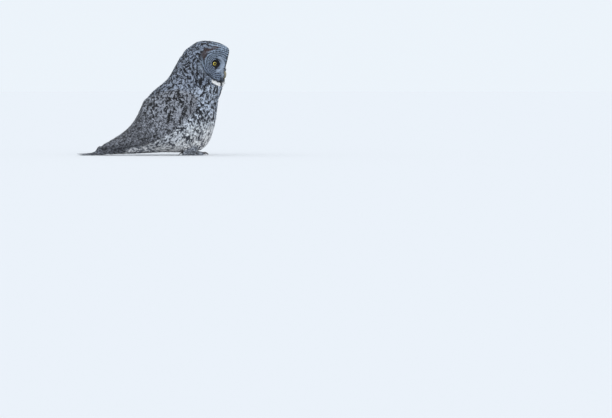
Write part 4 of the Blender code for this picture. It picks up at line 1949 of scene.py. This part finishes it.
@dataclass
class Bill:
    """Hooked bill, half hidden by bristles."""

    upper: tuple[tuple[float, ...], ...] = (
        (0.0890, -0.0070, 0.0054, 0.0062),
        (0.1010, -0.0090, 0.0052, 0.0064),
        (0.1080, -0.0150, 0.0045, 0.0058),
        (0.1110, -0.0230, 0.0035, 0.0046),
        (0.1110, -0.0310, 0.0023, 0.0030),
        (0.1085, -0.0385, 0.0006, 0.0009),
    )
    lower: tuple[tuple[float, ...], ...] = (
        (0.0880, -0.0225, 0.0044, 0.0038),
        (0.0980, -0.0250, 0.0040, 0.0034),
        (0.1040, -0.0295, 0.0028, 0.0025),
        (0.1070, -0.0345, 0.0009, 0.0010),
    )
    bristles: int = 300
    base_colour: Colour = srgb(62, 66, 78)

    def build(self, material: bpy.types.Material) -> list[bpy.types.Object]:
        """Makes both halves.

        Args:
            material: Material of the horn.

        Returns:
            The upper and the lower half.
        """
        across = BIRD.head_matrix.to_3x3() @ Vector((1.0, 0.0, 0.0))
        halves = []
        for name, rows in (("bill_upper_horn", self.upper), ("bill_lower_horn", self.lower)):
            path = np.array([[*BIRD.from_head(r[0], 0.0, r[1]), r[2], r[3]] for r in rows])
            halves.append(horn_object(name, [Horn(path, across)], material))
        return halves

    def bristle_coat(self, surface: Surface, markings: Markings) -> bpy.types.Object:
        """Makes the bristles that grow round the base of the bill and hang over it.

        Args:
            surface: The outside of the plumage.
            markings: The plumage's pattern.

        Returns:
            The piece.
        """
        chance = np.random.default_rng(17)
        vane = Vane(rows=8, columns=3, base=0.8, tip=2.5, ragged=0.04, ridge=0.10)
        matrix = BIRD.head_matrix.to_3x3()
        count = self.bristles * 2
        sign = np.repeat((-1, 1), self.bristles)
        up = chance.uniform(-0.036, 0.006, count)
        side = sign * chance.uniform(0.0040, 0.0110, count)
        roots = np.empty((count, 3))
        for row in range(count):
            start = BIRD.from_head(0.16, side[row], up[row])
            roots[row] = surface.tree.ray_cast(start, matrix @ Vector((0.0, 1.0, 0.0)))[0]
        length = chance.uniform(0.008, 0.0150, count)
        share = vane.along()[None, :]
        wide = np.abs(side)[:, None] / 0.015
        ahead = (0.95 - 0.35 * wide) * share - 0.25 * share**2
        fall = -0.10 * share - (0.30 + 0.4 * chance.random((count, 1))) * share**2
        out = sign[:, None] * ((0.1 + 0.3 * chance.random((count, 1))) * share - 0.30 * share**2)
        local = np.stack([out, -ahead, fall], axis=2) * length[:, None, None]
        spread = np.array(matrix)
        shafts = roots[:, None] + local @ spread.T
        outward = np.stack([sign, np.full(count, -0.4), np.full(count, 0.5)], axis=1)
        normals = np.repeat(outward[:, None], vane.rows, axis=1)
        ways = unit(np.gradient(shafts, axis=1))
        normals = flattened(unit(normals @ spread.T), ways)
        half = chance.uniform(0.00035, 0.0006, count)
        height = np.zeros((count, vane.rows)) - 0.0015 * (1 - share) ** 2
        corners = vane.spread_out(shafts, normals, ways, half, length, height, chance)
        luck = chance.uniform(0.7, 1.15, count)
        pale = ease(np.abs(side) + 0.006 * chance.random(count), 0.0070, 0.0115)
        pale = pale * ease(up, -0.034, -0.022)
        colour = blended(np.array(self.base_colour), np.array(markings.white) * 0.9, pale)
        colour = colour * luck[:, None]
        paint = Paint(colour, colour * 0.7, np.zeros((count, 3))).repeated(vane.corners)
        spots = free_spots(np.stack([side, up], axis=1), 0.02, 0.008)
        return vane_object("bill_bristles", corners, vane, paint, spots, (0.006, 0.006))


@dataclass
class Eyes:
    """Eyeballs and the rims of their lids."""

    sunk: float = 0.0006
    bulge: float = 0.0008
    lid_radius: float = 0.0082
    lid_thickness: float = 0.0008
    lid_drop: float = 0.0012
    lid_clearance: float = 0.0004
    around: int = 64
    tube: int = 12

    def build(
        self, sign: int, wet: bpy.types.Material, rim: bpy.types.Material
    ) -> list[bpy.types.Object]:
        """Makes one eye and its lids.

        Args:
            sign: Side of the head, 1 for the left.
            wet: Material of the ball.
            rim: Material of the lids.

        Returns:
            The ball and the lids.
        """
        side = "left" if sign > 0 else "right"
        gaze = FACE.gaze(sign)
        centre = FACE.eye_centre(sign)
        middle = Vector((centre.y, -centre.x, centre.z)) - gaze * self.sunk
        turn = gaze.to_track_quat("Z", "Y").to_matrix().to_4x4()
        place = BIRD.head_matrix @ Matrix.Translation(middle) @ turn
        return [self._ball(side, place, wet), self._lids(side, place, rim)]

    def _ball(self, side: str, place: Matrix, wet: bpy.types.Material) -> bpy.types.Object:
        """Makes the ball with its clear bulging front.

        Args:
            side: Name of the side.
            place: Where it lies and looks.
            wet: Its material.

        Returns:
            The ball.
        """
        bm = bmesh.new()
        bmesh.ops.create_uvsphere(bm, u_segments=64, v_segments=64, radius=FACE.eye_radius)
        distances = []
        for vertex in bm.verts:
            radial = math.hypot(vertex.co.x, vertex.co.y)
            distances.append(radial if vertex.co.z > 0 else 1.0)
            if vertex.co.z > 0 and radial < FACE.eye_opening:
                vertex.co.z += self.bulge * (1 - (radial / FACE.eye_opening) ** 2)
        bm.transform(place)
        ball = mesh_object(f"eye_{side}_ball", bm, wet)
        layer = ball.data.attributes.new("from_axis", "FLOAT", "POINT")
        layer.data.foreach_set("value", distances)
        return ball

    def _lids(self, side: str, place: Matrix, rim: bpy.types.Material) -> bpy.types.Object:
        """Makes the ring of the lids, lower at its top.

        Args:
            side: Name of the side.
            place: Where it lies and faces.
            rim: Its material.

        Returns:
            The lids.
        """
        bm = bmesh.new()
        rings = []
        for step in range(self.around):
            angle = step / self.around * 2 * math.pi
            drop = self.lid_drop * max(0.0, math.sin(angle)) ** 2
            radius = self.lid_radius - drop
            height = math.sqrt((FACE.eye_radius + self.lid_clearance) ** 2 - radius**2)
            spoke = Vector((math.cos(angle), math.sin(angle), 0.0))
            ring = []
            for k in range(self.tube):
                turn = k / self.tube * 2 * math.pi
                out = spoke * (self.lid_thickness * 1.3 * math.cos(turn))
                rise = Vector((0, 0, 1)) * self.lid_thickness * math.sin(turn)
                ring.append(bm.verts.new(spoke * radius + Vector((0, 0, height)) + out + rise))
            rings.append(ring)
        join_rings(bm, [*rings, rings[0]])
        bmesh.ops.recalc_face_normals(bm, faces=bm.faces)
        bm.transform(place)
        return mesh_object(f"eye_{side}_lids", bm, rim)


class Toe(Enum):
    """Toes of a foot: turn outward in degrees, length from the ankle and length of the claw."""

    INNER = (-24.0, 0.043, 0.019)
    MIDDLE = (6.0, 0.049, 0.020)
    OUTER = (58.0, 0.041, 0.017)
    HIND = (168.0, 0.034, 0.016)

    def claw(self, sign: int) -> Horn:
        """Gives the toe's curved claw.

        Args:
            sign: Side of the body, 1 for the left.

        Returns:
            The claw.
        """
        angle, length, claw = self.value
        turn = math.radians(angle)
        ahead = Vector((sign * math.sin(turn), -math.cos(turn), 0.0))
        start = BIRD.place(ANKLE_FORWARD, sign * ANKLE_SIDE, 0.0)
        rows = []
        for run, up, radius in (
            (length - 0.006, 0.0075, 0.0029),
            (length + 0.1 * claw, 0.0095, 0.0030),
            (length + 0.4 * claw, 0.0094, 0.0024),
            (length + 0.7 * claw, 0.0070, 0.0016),
            (length + 0.9 * claw, 0.0042, 0.0009),
            (length + claw, 0.0020, 0.0003),
        ):
            spot = start + ahead * run
            rows.append([spot.x, spot.y, up, radius * 0.85, radius])
        return Horn(np.array(rows), ahead.cross(Vector((0, 0, 1))), 0.05, 16)


@dataclass
class Skin:
    """The one closed skin under the coat."""

    voxel: float = 0.0030
    depths: dict[Region, float] = field(
        default_factory=lambda: {
            Region.HEAD: 0.0045,
            Region.DISC: 0.0026,
            Region.NECK: 0.0060,
            Region.TRUNK: 0.0070,
            Region.COVERTS: 0.0050,
            Region.SECONDARIES: 0.0055,
            Region.PRIMARIES: 0.0055,
            Region.UNDERTAIL: 0.0050,
            Region.LEG: 0.0030,
            Region.FOOT: 0.0010,
            Region.TAIL: 0.0010,
        }
    )

    def depth(self, surface: Surface) -> Array:
        """Depth of the coat at each corner of a surface."""
        each = np.array([self.depths[region] for region in REGIONS])
        return surface.weights @ each / surface.weights.sum(1)

    def build(self, nodes: dict[str, bpy.types.Object], markings: Markings) -> bpy.types.Object:
        """Makes the skin.

        Args:
            nodes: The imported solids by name.
            markings: The plumage's pattern.

        Returns:
            The skin.
        """
        covers = [region for region in REGIONS if region is not Region.TAIL]
        surface = Surface(nodes, self.voxel, 6, covers)
        surface.soften()
        LIE.comb(surface)
        tones = markings.tones(surface)
        half = np.full(len(surface.points), 0.5)
        paint = markings.paint(tones, surface.points, half)
        on_face = surface.on_face(0.98)
        face = markings.paint_face(surface.points, half)
        paint.pale[on_face] = face.pale[on_face]
        paint.dark[on_face] = face.dark[on_face]
        # Painted shade: the skin's light colour is darkened to 0.7 for the shade under and between
        # the feathers.
        paint.pale *= 0.7
        surface.offset(self.depth(surface))
        skin = surface.as_object("skin")
        set_paint(skin.data, paint)
        return skin


@dataclass
class Studio:
    """Floor, lights and camera."""

    distance: float = 15.0
    lens: float = 220.0
    sensor: float = 36.0
    eye_height: float = 0.30
    aim: tuple[float, float, float] = (0.464, 0.0, -0.216)
    backdrop: Colour = srgb(233, 234, 236)
    radius: float = 90.0

    def camera(self) -> None:
        """Places the camera on the bird's right side."""
        target = BIRD.place(*self.aim)
        data = bpy.data.cameras.new("camera")
        data.lens = self.lens
        data.sensor_width = self.sensor
        data.clip_end = 100.0
        camera = add_object("camera", data)
        camera.location = (-self.distance, target.y, self.eye_height)
        aim = Vector((0.0, target.y, target.z)) - camera.location
        camera.rotation_euler = aim.to_track_quat("-Z", "Y").to_euler()
        bpy.context.scene.camera = camera

    def floor(self) -> None:
        """Makes a plain pale floor that runs to the horizon."""
        material, net, shader = new_material("floor_matt")
        looks = {"Base Color": (*self.backdrop, 1.0), "Roughness": 0.9, "Specular IOR Level": 0.0}
        net.join(shader, looks)
        bm = bmesh.new()
        bmesh.ops.create_circle(bm, cap_ends=True, segments=96, radius=self.radius)
        mesh_object("floor", bm, material)

    @staticmethod
    def lights() -> None:
        """Places broad soft lights and a pale surround."""
        world = bpy.data.worlds.new("surround")
        world.use_nodes = True
        background = world.node_tree.nodes["Background"]
        background.inputs["Color"].default_value = (0.84, 0.90, 0.96, 1.0)
        background.inputs["Strength"].default_value = 1.0
        bpy.context.scene.world = world
        for name, tilt, azimuth, angle, power in (
            ("key", 52.0, -76.0, 70.0, 0.62),
            ("fill", 84.0, -52.0, 90.0, 0.75),
        ):
            data = bpy.data.lights.new(name, "SUN")
            data.angle = math.radians(angle)
            data.energy = power
            turn = (math.radians(tilt), 0.0, math.radians(azimuth))
            add_object(name, data).rotation_euler = turn


def finish_piece(piece: bpy.types.Object, slot: str, *nodes: str) -> None:
    """Hands a piece over to the frame.

    Args:
        piece: The piece.
        slot: Not used.
        nodes: Names of the solids that it stands for.
    """
    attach(piece, BODY)
    if nodes:
        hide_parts(*nodes)
    LOG.info("%s: %d faces", piece.name, len(piece.data.polygons))


def coats() -> list[Coat]:
    """Lists the areas of the coat.

    Returns:
        One coat for each area.
    """
    wisp = Vane(rows=5, columns=3, base=0.6, ragged=0.15, tip=2.0, ridge=0.04)
    small = Vane(rows=5, columns=3, ragged=0.14, ridge=0.04)
    middle = Vane(rows=6, columns=5, ragged=0.14, tip=3.6, ridge=0.02, droop=0.06)
    large = Vane(rows=7, columns=7, ragged=0.15, tip=4.0, ridge=0.02, droop=0.06)
    face = ("face", wisp, (0.0065, 0.0095), (0.0019, 0.0032), 0.55, 0.0005, 0.12)
    front = ("plumage", large, (0.022, 0.036), (0.0074, 0.0102), 0.46, 0.0015)
    wing = ("plumage", large, (0.017, 0.048), (0.0072, 0.0165), 0.48, 0.0010, 0.09)
    return [
        Coat(Area.FACE_LEFT, *face),
        Coat(Area.FACE_RIGHT, *face),
        Coat(Area.HEAD, "plumage", small, (0.011, 0.016), (0.0040, 0.0056), 0.47, 0.0008),
        Coat(Area.NECK, "plumage", middle, (0.016, 0.024), (0.0059, 0.0084), 0.46, 0.0009),
        Coat(Area.FRONT_LEFT, *front),
        Coat(Area.FRONT_RIGHT, *front),
        Coat(Area.BACK, "plumage", large, (0.026, 0.038), (0.0110, 0.0150), 0.48, 0.0014),
        Coat(Area.WING_LEFT, *wing),
        Coat(Area.WING_RIGHT, *wing),
        Coat(Area.UNDERTAIL, "plumage_pale", large, (0.026, 0.042), (0.009, 0.012), 0.50, 0.0014),
        Coat(Area.LEGS, "plumage_pale", small, (0.014, 0.007), (0.0050, 0.0028), 0.50, 0.0008),
    ]


def main() -> None:
    """Builds every piece in order."""
    logging.basicConfig(level=logging.INFO, format="%(message)s")
    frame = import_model()
    nodes = frame["nodes"]
    groups = ShaderGroups()
    markings = Markings()
    feather = PlumageFinish("plumage_soft").make(groups)
    stiff = PlumageFinish("flight_vanes", roughness=0.6, sheen=0.1, barb_depth=0.0004).make(groups)
    down = PlumageFinish("skin_down", on_vanes=False).make(groups)
    horn = HornFinish("bill_horn", srgb(138, 131, 106), srgb(94, 88, 72)).make(groups)
    black = HornFinish("claw_horn", srgb(30, 29, 31), srgb(64, 60, 58), 0.28, 0.4).make(groups)
    lid = HornFinish("lid_skin", srgb(22, 22, 26), srgb(44, 44, 50), 0.55, 0.0).make(groups)
    wet = EyeFinish().make()

    skin_maker = Skin()
    skin = skin_maker.build(nodes, markings)
    skin.data.materials.append(down)
    flesh = [name for region in REGIONS for name in region.value if region is not Region.TAIL]
    finish_piece(skin, "plumage", *flesh)

    surface = Surface(nodes, 0.0030, 6, REGIONS)
    surface.soften()
    LIE.comb(surface)
    tones = markings.tones(surface)
    depth = skin_maker.depth(surface)
    for coat in coats():
        piece = coat.plant(surface, tones, depth, markings)
        piece.data.materials.append(feather)
        finish_piece(piece, coat.slot)
    for sign in (1, -1):
        for piece in Wings().build(surface, markings, sign):
            piece.data.materials.append(stiff)
            finish_piece(piece, "flight_feather")
    tail = Tail().build(markings)
    tail.data.materials.append(stiff)
    finish_piece(tail, "flight_feather", "tail")

    bill = Bill()
    upper, lower = bill.build(horn)
    finish_piece(upper, "bill", "bill_upper")
    finish_piece(lower, "bill", "bill_lower")
    bristles = bill.bristle_coat(surface, markings)
    bristles.data.materials.append(feather)
    finish_piece(bristles, "face")
    for sign, side in ((1, "left"), (-1, "right")):
        ball, lids = Eyes().build(sign, wet, lid)
        finish_piece(ball, "eye", f"eye_{side}")
        finish_piece(lids, "face")
        claws = horn_object(f"claws_{side}", [toe.claw(sign) for toe in Toe], black)
        finish_piece(claws, "claw", *(f"claw_{side}_{toe.name.lower()}" for toe in Toe))

    studio = Studio()
    studio.camera()
    studio.floor()
    studio.lights()
    bpy.context.scene.view_settings.view_transform = "Standard"


if __name__ == "__main__":
    main()
